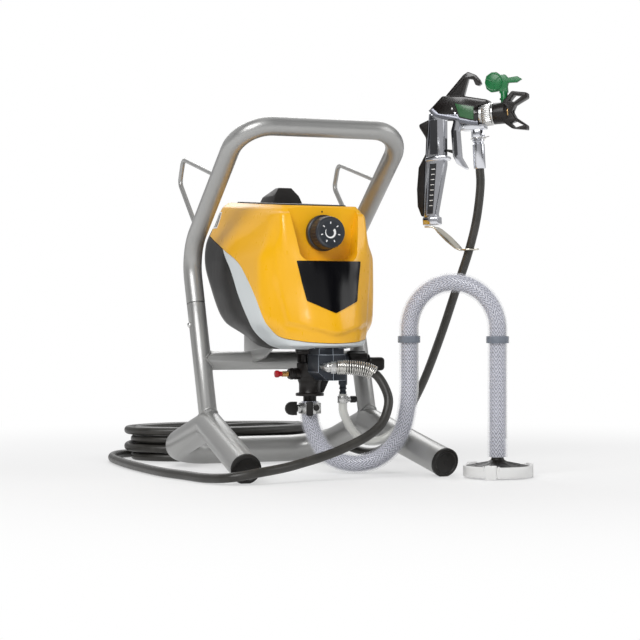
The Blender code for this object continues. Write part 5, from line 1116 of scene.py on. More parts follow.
    def make_cap_face(self, side: int, label: str) -> None:
        """Give a foot's end cap its raised rim and gate mark."""
        foot = self.joint(side, "foot")
        way = (foot - self.joint(side, "apex")).normalized()
        rim = self.floor_radius + 0.0006
        profile = [(0.0, 0.0052), (0.0016, 0.0052), (0.0020, 0.0046), (rim - 0.0056, 0.0046),
                   (rim - 0.0048, 0.0052), (rim - 0.0042, 0.0060), (rim - 0.0020, 0.0060),
                   (rim - 0.0006, 0.0054), (rim, 0.0044), (rim, GAP), (0.0150, GAP), (0.0150, -0.0180),
                   (0.0, -0.0180)]
        cap = Stock.turned(profile, foot, way, 40)
        Bench.slice_off(cap, (0, 0, 0), (0, 0, -1))
        Bench.deliver(cap, f"foot_cap_{label}_moulded", BLACK, stands_for=[f"foot_cap_{label}"])


# ============================================================================= hoses
@dataclass
class Hoses:
    """The pressure hose, the suction hose, the return tube and what sits on them."""

    pressure_radius: float = 0.0060
    suction_radius: float = 0.01325
    return_radius: float = 0.0058
    coil_centre: Sequence[float] = (0.0040, 0.2730)
    coil_half: Sequence[float] = (0.1450, 0.0880)
    coil_layers: int = 4
    turns_per_layer: int = 2
    extra_turn: float = 0.236
    start_angle: float = math.radians(115)
    loop_gap: float = 0.0019
    layer_gap: float = 0.0006
    lead: float = 0.0080
    guard_length: float = 0.0500
    clip_height: float = 0.0090
    filter_radius: float = 0.0450
    left_riser: Sequence[float] = (0.1101, -0.1441)
    right_riser: Sequence[float] = (0.1955, -0.2315)
    arch_spring: float = 0.1940
    return_shift: Sequence[float] = (0.0150, 0.0147, 0.0)
    elbow: Sequence[float] = (-0.0070, -0.1450, 0.1440)
    elbow_way: Sequence[float] = (0.93, -0.33, 0.0)
    elbow_reach: float = 0.0095
    piston_y: float = -0.0670
    suction_top: float = 0.0970
    return_top: Sequence[float] = (0.0323, -0.1030, 0.1070)
    pump_run: Points = tenths((100, -1520, 1443), (180, -1568, 1438), (280, -1612, 1428), (358, -1647, 1413),
                              (445, -1680, 1378), (510, -1704, 1327), (577, -1777, 1187), (604, -1844, 1021),
                              (546, -1895, 844), (443, -1936, 701), (247, -1958, 564), (11, -1963, 455),
                              (-218, -1970, 370), (-445, -1979, 303), (-677, -1985, 246), (-926, -2038, 199),
                              (-1343, -2127, 150), (-1660, -2030, 95), (-1830, -1640, 66), (-1920, -1050, 64),
                              (-2000, -450, 64), (-1990, 500, 64), (-1900, 1596, 64), (-1720, 2560, 64),
                              (-1420, 3150, 64), (-1050, 3380, 62))
    gun_run: Points = tenths((1500, 2970, 400), (1750, 2700, 280), (2000, 2450, 130), (2160, 2200, 68),
                             (2245, 1850, 100), (2270, 1300, 390), (2265, 800, 820), (2260, 376, 1220),
                             (2250, -170, 1870), (2280, -510, 2430))
    suction_drop: Points = tenths((17, -675, 660), (66, -708, 500), (172, -776, 300), (327, -867, 180),
                                  (530, -990, 137), (754, -1122, 190), (945, -1262, 377), (1043, -1371, 621),
                                  (1089, -1424, 915))
    return_drop: Points = tenths((325, -1028, 860), (360, -1015, 770), (450, -1000, 620), (620, -990, 460),
                                 (850, -1030, 440), (1060, -1120, 580), (1200, -1230, 830))
    strap_run: Points = ((-0.0190, -0.1090), (-0.0060, -0.0660), (0.0020, 0.0018 - 0.020))
    gun: Matrix = field(default_factory=Matrix)

    def coil_point(self, turns: float) -> Vector:
        """Give a point of the pile, which spirals in and out and climbs at each reversal."""
        layer = min(int(turns // self.turns_per_layer), self.coil_layers - 1)
        along = turns - layer * self.turns_per_layer
        inward = along if layer % 2 == 0 else self.turns_per_layer - along
        pitch = 2 * self.pressure_radius + self.loop_gap
        height = self.pressure_radius
        for step in range(1, self.coil_layers):
            share = clamped((turns - step * self.turns_per_layer + 0.25) / 0.5)
            height += (2 * self.pressure_radius + self.layer_gap) * eased(share)
        angle = self.start_angle - math.tau * turns
        return Vector((self.coil_centre[0] + (self.coil_half[0] - inward * pitch) * math.cos(angle),
                       self.coil_centre[1] + (self.coil_half[1] - inward * pitch) * math.sin(angle), height))

    def coil(self) -> list[Vector]:
        """Give the whole wound length with a straight lead at either end."""
        turns = self.coil_layers * self.turns_per_layer + self.extra_turn
        count = round(turns * 72)
        points = [self.coil_point(turns * index / count) for index in range(count + 1)]
        lead = 2 * self.pressure_radius
        first, last = (points[0] - points[1]).normalized(), (points[-1] - points[-2]).normalized()
        return [points[0] + first * lead, *points, points[-1] + last * lead]

    def outlet_end(self) -> tuple[Vector, Vector]:
        """Give the point and direction in which the pressure hose leaves the pump."""
        way = Vector(self.elbow_way).normalized()
        return Vector(self.elbow) + way * self.elbow_reach, way

    def pressure_line(self) -> list[Vector]:
        """Give the pressure hose's whole centreline, from the pump to the gun."""
        start, way = self.outlet_end()
        coil = self.coil()
        back, onward = (coil[0] - coil[1]).normalized(), (coil[-1] - coil[-2]).normalized()
        first = Route.smooth([start + way * GAP, start + way * self.lead, *self.pump_run,
                              coil[0] + back * self.lead, coil[0]], 0.005)
        ends = [self.gun @ Vector((x, 0, z)) for x, z in (*self.strap_run, (0.0020, 0.0018 - GAP))]
        last = Route.smooth([coil[-1], coil[-1] + onward * self.lead, *self.gun_run, *ends], 0.005)
        return first + coil[1:-1] + last

    def arch(self, shift: Sequence[float], bottom_left: float, bottom_right: float) -> list[Vector]:
        """Go up one riser, over the half circle and down the other, moved aside by a shift."""
        left, right = Vector((*self.left_riser, 0)), Vector((*self.right_riser, 0))
        middle, arm = (left + right) / 2, (right - left) / 2
        points = [left + Z * (bottom_left + (self.arch_spring - bottom_left) * step / 8) for step in range(8)]
        for step in range(41):
            angle = math.pi * step / 40
            points.append(middle - arm * math.cos(angle)
                          + Z * (self.arch_spring + arm.length * math.sin(angle)))
        points += [right + Z * (self.arch_spring + (bottom_right - self.arch_spring) * step / 14)
                   for step in range(1, 15)]
        return [point + Vector(shift) for point in points]

    def suction_line(self) -> list[Vector]:
        """Give the suction hose's centreline."""
        top = Vector((0, self.piston_y, self.suction_top))
        drop = Route.smooth([top, top - Z * 0.0110, top - Z * 0.0220, *self.suction_drop,
                             (*self.left_riser, 0.1150), (*self.left_riser, 0.1350)], 0.005)
        return drop[:-1] + self.arch((0, 0, 0), 0.1350, 0.0270)

    def return_line(self) -> list[Vector]:
        """Give the return tube's centreline."""
        top, shift = Vector(self.return_top), Vector(self.return_shift)
        drop = Route.smooth([top, top - Z * 0.0170, *self.return_drop,
                             Vector((*self.left_riser, 0.1100)) + shift,
                             Vector((*self.left_riser, 0.1350)) + shift], 0.004)
        return drop[:-1] + self.arch(self.return_shift, 0.1350, 0.0500)

    def build(self) -> None:
        guard = self.make_bend_guard()
        self.make_pressure_hose()
        clips = [self.make_clip(self.left_riser, "left"), self.make_clip(self.right_riser, "right")]
        foot, ring = self.make_filter()
        self.make_suction_hose()
        self.make_return_tube()

    @staticmethod
    def measured(line: list[Vector]) -> tuple[list[Vector], float]:
        """Give a centreline where it lies in the shared frame, and its length."""
        path = [point + SHIFT for point in line]
        return path, sum((second - first).length for first, second in zip(path, path[1:]))

    def make_pressure_hose(self) -> None:
        """Lay the pressure hose in one length from the pump, through its pile, to the gun."""
        line = self.pressure_line()
        runs = [f"pressure_hose_{run}" for run in ("pump_run", "coil", "gun_run")]
        hose = Bench.deliver(Stock.sweep(line, self.pressure_radius, 20), "pressure_hose", RUBBER,
                             stands_for=runs, degrees=60)

    def make_bend_guard(self) -> list[Thing]:
        """Wind the spring that guards the hose at the pump: close at its ends, open between."""
        start, way = self.outlet_end()
        dense = Route.even(Route.smooth([start + way * GAP, *self.pump_run[:8]], 0.001), 0.0005)
        side = way.cross(Z).normalized()
        frames = []
        for index, point in enumerate(dense):
            ahead = (dense[min(index + 1, len(dense) - 1)] - dense[max(index - 1, 0)]).normalized()
            side = (side - ahead * side.dot(ahead)).normalized()
            frames.append((point, side.copy(), ahead.cross(side)))
        wire, mean, sides = 0.00100, 0.00870, 20
        points, reach, angle = [], 0.0012, 0.0
        while reach < self.guard_length:
            share = reach / self.guard_length
            open_part = clamped((share - 0.24) / 0.08) * clamped((0.90 - share) / 0.06)
            centre, one, two = frames[min(len(frames) - 1, int(reach / 0.0005))]
            points.append(centre + (one * math.cos(angle) + two * math.sin(angle)) * mean)
            angle += math.tau / sides
            reach += (2.06 * wire + open_part * 0.0007) / sides
        coil = Stock.sweep(points, wire, 8)
        sleeve = Stock.sweep([frames[index][0] for index in range(2, 94, 4)], 0.0076, 24, hollow=0.0062)
        spring = Bench.deliver(coil, "bend_guard_spring", SPRING, stands_for=["hose_bend_guard"], degrees=50)
        return [spring, Bench.deliver(sleeve, "bend_guard_sleeve", RUBBER, degrees=50)]

    def make_clip(self, riser: Sequence[float], label: str) -> Thing:
        """Mould a clip that holds the suction hose and the return tube together."""
        height = self.clip_height
        low = Vector((*riser, 0.1800 - height / 2))
        bands = []
        for start, radius in ((low, self.suction_radius),
                              (low + Vector(self.return_shift), self.return_radius)):
            bore, outer = radius + GAP, radius + GAP + 0.0014
            bands.append(Stock.turned([(outer - 0.0004, height), (outer, height - 0.0006), (outer, 0.0006),
                                       (outer - 0.0004, 0.0), (bore, 0.0), (bore, height)], start, Z, 40))
        return Bench.deliver(Bench.gather(*bands), f"tube_clip_{label}_moulded", CLIP,
                             stands_for=[f"tube_clip_{label}"])

    def make_suction_hose(self) -> None:
        """Lay the clear suction hose as an outer wall, a braid and an inner wall."""
        line = self.suction_line()
        hose = Bench.deliver(Stock.sweep(line, self.suction_radius, 36, hollow=0.0116), "suction_hose_wall",
                             VINYL, stands_for=["suction_hose"], degrees=60)
        braid = Bench.deliver(Stock.sweep(line, 0.0105, 32, hollow=0.0101), "suction_hose_braid", BRAID,
                              degrees=60)
        start = next(i for i, point in enumerate(line) if point.z < 0.0790)
        end = next(i for i, point in enumerate(line) if i > len(line) // 2 and point.z < 0.0625)
        core = Bench.deliver(Stock.sweep(line[start:end], 0.0092, 24), "suction_hose_bore", CORE, degrees=60)

    def make_return_tube(self) -> None:
        """Lay the thin return tube, which ends open above the filter."""
        line = self.return_line()
        tube = Bench.deliver(Stock.sweep(line, self.return_radius, 24, hollow=0.0041), "return_tube_wall",
                             RETURN_VINYL, stands_for=["return_tube"], degrees=60)

    def make_filter(self) -> tuple[Thing, Thing]:
        """Build the suction filter: a black cone with its barbed spigot, and the white ring below."""
        centre, radius = (*self.right_riser, 0.0), self.filter_radius
        seat = radius - 0.0042
        profile = [(0.0, 0.0610), (0.0070, 0.0610), (0.0084, 0.0596)]
        for z in (0.0575 - rib * 0.0055 for rib in range(6)):
            profile += [(0.0088, z), (0.0088, z - 0.0012), (0.0080, z - 0.0022), (0.0080, z - 0.0040)]
        profile += [(0.0088, 0.0235), (0.0118, 0.0218), (0.0140, 0.0206), (seat - 0.0060, 0.0166),
                    (seat - 0.0012, 0.0160), (seat, 0.0155), (seat, 0.0030), (0.0, 0.0030)]
        fin = [(0.0150, 0.0200), (0.0150, 0.0209), (seat - 0.0070, 0.0172), (seat - 0.0070, 0.0160)]
        fins = [Stock.plate(fin, 0.0005,
                            Matrix.Translation(centre) @ Matrix.Rotation(turn, 4, "Z") @ Stock.front())
                for turn in around(12)]
        cone = Bench.gather(Stock.turned(profile, centre, Z, 64), *fins)
        ring = Stock.turned([(radius - 0.0012, 0.0160), (radius - 0.0004, 0.0157), (radius, 0.0150),
                             (radius, 0.0036), (radius - 0.0006, 0.0018), (radius - 0.0016, 0.0015),
                             (seat - 0.0100, 0.0015), (seat - 0.0100, 0.0027), (seat + GAP, 0.0027),
                             (seat + GAP, 0.0160)], centre, Z, 72)
        tabs = []
        for degrees in (-130, -10, 110):
            spot = (Matrix.Translation(centre) @ Matrix.Rotation(math.radians(degrees), 4, "Z")
                    @ Matrix.Translation((radius - 0.0012, 0, 0)))
            lumps = [((-0.0020, -0.0075, 0.0), (0.0032, 0.0075, 0.0185), 0.0008)]
            lumps += [((-0.0034, edge * 0.0098 - 0.0011, 0.0120),
                       (0.0012, edge * 0.0098 + 0.0011, 0.0172), 0.0004)
                      for edge in (-1, 1)]
            tabs += [Bench.moved(Bench.ease(Stock.block(low, high), edge, 2), spot)
                     for low, high, edge in lumps]
        return (Bench.deliver(cone, "filter_body_cone", BLACK, stands_for=["filter_body"]),
                Bench.deliver(Bench.gather(ring, *tabs), "filter_ring_clipped", WHITE,
                              stands_for=["filter_ring"]))


# =========================================================================== housing
@dataclass
class Housing:
    """The moulded front cover, trim band, rear shell and lid, the badge shield and the knob."""

    slices: Points = tenths((1670, -1180, 20, 340, -1060, 440, -920, 480, 440, -80, 120),
                            (1725, -1570, 90, 540, -1280, 590, -1000, 610, 550, 0, 140),
                            (1860, -1580, 90, 570, -1280, 690, -1010, 750, 690, 180, 180),
                            (2030, -1560, 90, 580, -1260, 800, -1010, 840, 840, 500, 200),
                            (2210, -1510, 80, 580, -1240, 825, -990, 880, 880, 680, 200),
                            (2490, -1440, 60, 575, -1220, 835, -980, 900, 890, 910, 200),
                            (2850, -1360, 20, 580, -1210, 830, -980, 900, 880, 1200, 220),
                            (3120, -1280, 15, 600, -1190, 730, -1000, 850, 840, 1260, 220),
                            (3370, -1200, 10, 610, -1150, 670, -920, 750, 740, 1200, 200),
                            (3560, -1130, 5, 580, -1075, 620, -880, 680, 660, 1060, 180),
                            (3640, -1050, 5, 530, -1010, 560, -840, 600, 580, 980, 160))
    reaches: Sequence[float] = (0.014, 0.012, 0.0055, 0.012, 0.020, 0.008, 0.005, 0.008, 0.020)
    cover_edge: Points = tenths((1000, 3235), (315, 3030), (-240, 2840), (-530, 2630), (-840, 2310),
                                (-1010, 1960), (-1060, 1860), (-1370, 1780), (-1900, 1680))
    trim_edge: Points = tenths((315, 3030), (-10, 2750), (-300, 2370), (-540, 2030), (-570, 1900),
                               (-700, 1720), (-800, 1500))
    lid_half: Points = tenths((0, -955), (430, -940), (490, -800), (530, 0), (510, 700), (450, 880), (0, 910))
    badge_half: Points = ((0.0460, 0.2830), (0.0360, 0.2305), (0.0, 0.2145))
    shield: Points = tenths((-600, 3600), (-640, 3200), (-710, 2970), (-690, 2600), (-570, 2010), (0, 1855),
                            (570, 2010), (690, 2600), (710, 2970), (640, 3200), (600, 3600))
    front: float = -0.1900
    back: float = 0.2000
    below: float = 0.1500
    above: float = 0.4200
    top: float = 0.3640
    wall: float = 0.0030
    seam: float = 0.0008
    pocket_floor: float = -0.1070
    knob_height: float = 0.3205
    brow: float = 0.345
    lid_slope: float = 0.07
    shield_height: float = 0.0036
    shield_flank: float = 0.0055
    lid_reaches: Sequence[float] = (0.004, 0.010, 0.012, 0.02, 0.012, 0.010) * 2

    @staticmethod
    def between(places: Sequence[float], values: Sequence[float], index: int, share: float) -> float:
        """Interpolate smoothly between two given values without passing beyond them.

        Args:
            places: Where the values are given.
            values: The values.
            index: The span's number.
            share: How far along the span, from 0 to 1.

        Returns:
            The value there.
        """
        slopes = [(values[i + 1] - values[i]) / (places[i + 1] - places[i]) for i in range(len(places) - 1)]

        def lean(at: int) -> float:
            """Give the tangent at a given value."""
            if at in (0, len(slopes)):
                return slopes[0 if at == 0 else -1]
            before, after = slopes[at - 1], slopes[at]
            return 0.0 if before * after <= 0 else 2 * before * after / (before + after)

        span, s2, s3 = places[index + 1] - places[index], share ** 2, share ** 3
        return ((2 * s3 - 3 * s2 + 1) * values[index] + (s3 - 2 * s2 + share) * span * lean(index)
                + (3 * s2 - 2 * s3) * values[index + 1] + (s3 - s2) * span * lean(index + 1))

    @staticmethod
    def softened(outline: Points, reaches: Sequence[float], steps: int, runs: int) -> list[Vector]:
        """Round each corner of an outline by its own reach and divide the straight runs."""
        here = [Vector(corner) for corner in outline]
        ends = []
        for before, corner, after, reach in zip(here[-1:] + here[:-1], here, here[1:] + here[:1], reaches):
            first, last = (corner + (other - corner) * min(0.48, reach / (other - corner).length)
                           for other in (before, after))
            ends.append((first, corner, last))
        points = []
        for (first, corner, last), (following, _, _) in zip(ends, ends[1:] + ends[:1]):
            for t in (step / steps for step in range(steps + 1)):
                points.append(first * (1 - t) ** 2 + corner * (2 * t * (1 - t)) + last * t * t)
            points += [last.lerp(following, step / runs) for step in range(1, runs)]
        return points

    def outline(self, level: Sequence[float], growth: float, steps: int, runs: int) -> list[Vector]:
        """Draw one level cut of the housing, seen from above."""
        nose, vee, face_w, face_y, cheek_w, cheek_y, side_w, tail_w, tail_y, corner = level[1:]
        inset = corner * 0.29
        half = [(0.0, nose), (face_w * 0.63, nose + vee), (face_w, face_y), (cheek_w, cheek_y),
                (side_w, (cheek_y + tail_y) / 2), (tail_w, tail_y - corner), (tail_w - inset, tail_y - inset),
                (tail_w - corner, tail_y), (0.0, tail_y + 0.002)]
        reaches = [*self.reaches, *reversed(self.reaches[1:-1])]
        return self.softened(grown(self.mirrored(half, 1), growth), reaches, steps, runs)

    def into_shield(self, x: float, z: float) -> float:
        """Give how far a place seen from the front is inside the raised shield, below zero outside."""
        here, inside, nearest = Vector((x, z)), False, 1.0
        edge = [Vector(corner) for corner in self.shield]
        for a, b in zip(edge, edge[1:] + edge[:1]):
            if (a.y > z) != (b.y > z) and x < (b.x - a.x) * (z - a.y) / (b.y - a.y) + a.x:
                inside = not inside
            share = clamped((here - a).dot(b - a) / (b - a).length_squared)
            nearest = min(nearest, (here - a.lerp(b, share)).length)
        return nearest if inside else -nearest

    def form(self, growth: float, spans: int = 8, steps: int = 5, runs: int = 6) -> Thing:
        """Loft the housing's whole form, grown or shrunk, with its raised front shield.

        Args:
            growth: How far it stands proud of the outer face.
            spans: Levels between two given slices.
            steps: Sides of each rounded corner.
            runs: Parts of each straight run.

        Returns:
            The form as one closed mesh.
        """
        columns, last = list(zip(*self.slices)), (len(self.slices) - 1) * spans
        rings = []
        for number in range(last + 1):
            index = min(number // spans, len(self.slices) - 2)
            level = [self.between(columns[0], column, index, number / spans - index) for column in columns]
            z = level[0] + {0: -growth, last: growth}.get(number, 0.0)
            lift = self.lid_slope * clamped((level[0] - self.brow) / 0.011)
            ring = []
            for x, y in self.outline(level, growth, steps, runs):
                fade = clamped((-0.070 - y) / 0.030) * clamped((self.brow - z) / 0.030)
                if fade > 0.0:
                    outside = clamped(0.5 - self.into_shield(x, z) / self.shield_flank)
                    y += self.shield_height * fade * eased(outside)
                ring.append((x, y, z + lift * y))
            rings.append(ring)
        return Stock.loft(rings)

    def region(self, outline: Points) -> Thing:
        """Make a prism across the whole width over a (y, z) outline, less half a seam."""
        return Stock.plate(grown(outline, -self.seam / 2), 0.2, Stock.side())

    @staticmethod
    def curve(edge: Points) -> list[tuple[float, float]]:
        """Draw a smooth parting line through (y, z) points."""
        return [(point.y, point.z) for point in Route.smooth([(0.0, y, z) for y, z in edge], 0.0045)]

    def pocket(self, growth: float) -> Thing:
        """Make the knob's pocket: open at front and top, with sloping walls and round lower corners."""
        low, mid, corner, wide = 0.285 - growth, 0.297, 0.012, 0.0400 + growth
        right = [(0.0545 + growth, 0.380), (wide, mid)]
        for turn in (math.radians(90 * step / 9) for step in range(1, 9)):
            right.append((wide - corner * (1 - math.cos(turn)), mid - (corner + growth) * math.sin(turn)))
        outline = self.mirrored([*right, (0.0280 + growth, low)])
        return Stock.loft([[(x, self.pocket_floor + growth, z) for x, z in outline],
                           [(x, -0.200, z) for x, z in grown(outline, 0.0075)]])

    @staticmethod
    def mirrored(half: Points, ends: int = 0) -> list[Sequence[float]]:
        """Close half an outline by its mirror image, less as many end points at either end."""
        return [*half, *((-x, y) for x, y in reversed(half[ends:len(half) - ends]))]

    def lid_region(self, growth: float) -> Thing:
        """Make the prism that parts the lid from the cover and the shell."""
        outline = grown(self.mirrored(self.lid_half, 1), growth)
        return Stock.plate(self.softened(outline, self.lid_reaches, 5, 2), 0.03,
                           Matrix.Translation((0, 0, self.top + 0.0080)))

    @staticmethod
    def block_opening() -> Thing:
        """Make the room for the pump block in the underside."""
        return Stock.block((-0.0218, -0.1338, 0.15), (0.0268, -0.0372, 0.202))

    def build(self) -> None:
        """Mould the shells, then add the badge, the knob and the small fittings."""
        skin = Bench.combine(Join.CARVE, self.form(0.0), self.pocket(0.0))
        core = Bench.combine(Join.CARVE, self.form(-self.wall, 3, 2, 2), self.pocket(self.wall))
        skin = Bench.combine(Join.CARVE, skin, core)
        for cut in (self.make_cover, self.make_trim, self.make_shell):
            cut(Stock.adopt(skin.data.copy()))
        self.make_lid(skin)
        self.make_badge()
        self.make_knob()
        self.make_side_vents()

    def make_cover(self, skin: Thing) -> None:
        """Cut the yellow front cover from the skin."""
        edge = [self.cover_edge[0], *self.curve(self.cover_edge[1:])]
        region = self.region([*edge, (self.front, self.above), (self.cover_edge[0][0], self.above)])
        cover = Bench.combine(Join.COMMON, skin, region)
        spindle = Stock.cylinder((0, self.pocket_floor - 0.01, self.knob_height),
                                 (0, self.pocket_floor + 0.02, self.knob_height), 0.0040, 24)
        Bench.combine(Join.CARVE, cover, self.lid_region(self.seam / 2), spindle, self.block_opening())
        Bench.deliver(cover, "front_cover_moulded", YELLOW, stands_for=["front_cover"], degrees=38)
        mark = Stock.plate([(-0.0012, 0.3500), (0.0012, 0.3500), (0.0, 0.3468)], 0.0003,
                           Stock.front(self.pocket_floor - 0.0001))
        Bench.deliver(mark, "knob_pointer_mark", BLACK)

    def make_trim(self, skin: Thing) -> None:
        """Cut the pale trim band from the skin."""
        outline = [*self.curve(self.cover_edge[1:]), (self.front, self.below),
                   *reversed(self.curve(self.trim_edge)[1:])]
        trim = Bench.combine(Join.COMMON, skin, self.region(outline))
        Bench.combine(Join.CARVE, trim, self.block_opening())
        Bench.deliver(trim, "side_trim_moulded", TRIM, stands_for=["side_trim"], degrees=38)

    def make_shell(self, skin: Thing) -> None:
        """Cut the dark rear shell from the skin, with its cooling slots and the gland's hole."""
        outline = [(self.cover_edge[0][0], self.above), self.cover_edge[0], *self.curve(self.trim_edge),
                   (self.back, self.below), (self.back, self.above)]
        shell = Bench.combine(Join.COMMON, skin, self.region(outline))
        slots = [Bench.ease(Stock.block((-0.045, 0.095, 0.286 + rise), (0.020, 0.150, 0.2905 + rise)),
                            0.0018, 3)
                 for rise in (0.010 * row for row in range(5))]
        gland = Stock.cylinder((0.048, 0.08, 0.290), (0.048, 0.16, 0.290), 0.0071, 32)
        Bench.combine(Join.CARVE, shell, self.block_opening(), gland, *slots)
        Bench.combine(Join.CARVE, shell, self.lid_region(self.seam / 2))
        Bench.deliver(shell, "rear_housing_moulded", SHELL, stands_for=["rear_housing"], degrees=38)

    def make_lid(self, skin: Thing) -> None:
        """Cut the lid from the skin and set its tapered hump on it."""
        lid = Bench.combine(Join.COMMON, skin, self.lid_region(-self.seam / 2))
        rings = [[(x * half, fore if y < 0 else aft, z) for x, y in ((-1, -1), (1, -1), (1, 1), (-1, 1))]
                 for half, fore, aft, z in tenths((215, 70, 610, 3635), (210, 76, 604, 3680),
                                                  (185, 115, 550, 3765), (96, 180, 290, 3880))]
        hump = Bench.ease(Stock.loft(rings), 0.0010, 3, 12)
        tilted = Matrix(((1, 0, 0, 0), (0, 1, 0, 0), (0, self.lid_slope, 1, self.top + 0.0003), (0, 0, 0, 1)))
        outline = grown(self.mirrored(self.lid_half, 1), -0.0022)
        rim = Bench.ease(Stock.plate(outline, 0.0013, tilted), 0.0005, 2)
        Bench.combine(Join.UNITE, lid, rim, hump)
        Bench.deliver(lid, "top_cover_moulded", LID, stands_for=["top_cover"], degrees=30)

    def make_badge(self) -> None:
        """Lay the bare gloss shield on the front, with rounded corners."""
        outline = [*self.badge_half, *((-x, z) for x, z in reversed(self.badge_half[:-1]))]
        soft = self.softened(outline, [0.0012, 0.0016, 0.0016, 0.0016, 0.0012], 4, 3)
        badge = Bench.combine(Join.COMMON, self.form(0.0010), Stock.plate(soft, 0.04, Stock.front(-0.145)))
        Bench.combine(Join.CARVE, badge, self.form(GAP))
        Bench.deliver(badge, "badge_shield", BADGE, stands_for=["badge_panel"])

    def make_knob(self) -> None:
        """Turn the pressure knob with its face, and print its plain scale."""
        base = (0.0, self.pocket_floor - GAP, self.knob_height)
        profile = tenths((0, 277), (150, 277), (178, 279), (186, 285), (196, 285), (204, 279), (209, 265),
                         (216, 95), (218, 86), (228, 82), (238, 74), (240, 62), (240, 10), (236, 2), (232, 0),
                         (30, 0), (30, -45), (0, -45))
        grips = []
        for x, z in (polar(1.0, turn) for turn in around(30)):
            arm = Vector((x, 0.0, z))
            grips.append(Stock.sweep([Vector(base) + arm * 0.0214 - Y * 0.0100,
                                      Vector(base) + arm * 0.0207 - Y * 0.0262], 0.00055, 8))
        Bench.deliver(Bench.gather(Stock.turned(profile, base, -Y, 96), *grips), "pressure_knob_turned", DIAL,
                      "knob", stands_for=["pressure_knob"], degrees=40)
        turns = [math.radians(150 + 250 * step / 32) for step in range(33)]
        crescent = [polar(0.0078, turn) for turn in turns]
        crescent += [polar(0.0070 - 0.0026 * step / 32, turns[step]) for step in reversed(range(33))]
        face = self.pocket_floor - GAP - 0.0277 - 0.0001
        plane = Matrix.Translation((0, face, self.knob_height)) @ Stock.front()
        low, high = (0.0112, -0.0007, -0.00018), (0.0140, 0.0007, 0.00018)
        ticks = [Bench.moved(Stock.block(low, high), plane @ Matrix.Rotation(math.radians(degrees), 4, "Z"))
                 for degrees in (90, 141, 193, 244, 296, 347, 39)]
        Bench.deliver(Bench.gather(Stock.plate(crescent, 0.00018, plane), *ticks), "pressure_knob_scale",
                      MARK, "knob")

    def make_side_vents(self) -> None:
        """Set the small framed vent and its dark grille high on each side of the cover."""
        for side, label in SIDES:
            frame, *others = (self.side_bar(side, *corners) for corners in tenths(
                    (820, 3335, 970, 3352), (820, 3548, 970, 3565), (820, 3335, 840, 3565),
                    (950, 3335, 970, 3565), (888, 3335, 902, 3565)))
            Bench.combine(Join.UNITE, frame, *others)
            self.inlay(frame, 0.0008, f"side_vent_frame_{label}", MARK)
            self.inlay(self.side_bar(side, 0.0842, 0.3354, 0.0948, 0.3546), 0.0004,
                       f"side_vent_grille_{label}", SHELL)

    @staticmethod
    def side_bar(side: int, y: float, z: float, far_y: float, far_z: float) -> Thing:
        """Make a bar through one side wall, between two corners seen from that side."""
        near, far = sorted((side * 0.05, side * 0.10))
        return Stock.block((near, y, z), (far, far_y, far_z))

    def inlay(self, area: Thing, proud: float, name: str, finish: Finish) -> None:
        """Deliver the thin part of an area that stands proud of the housing."""
        piece = Bench.combine(Join.COMMON, self.form(proud, 4, 3, 2), area)
        Bench.combine(Join.CARVE, piece, self.form(0.0001, 4, 3, 2))
        Bench.deliver(piece, name, finish)


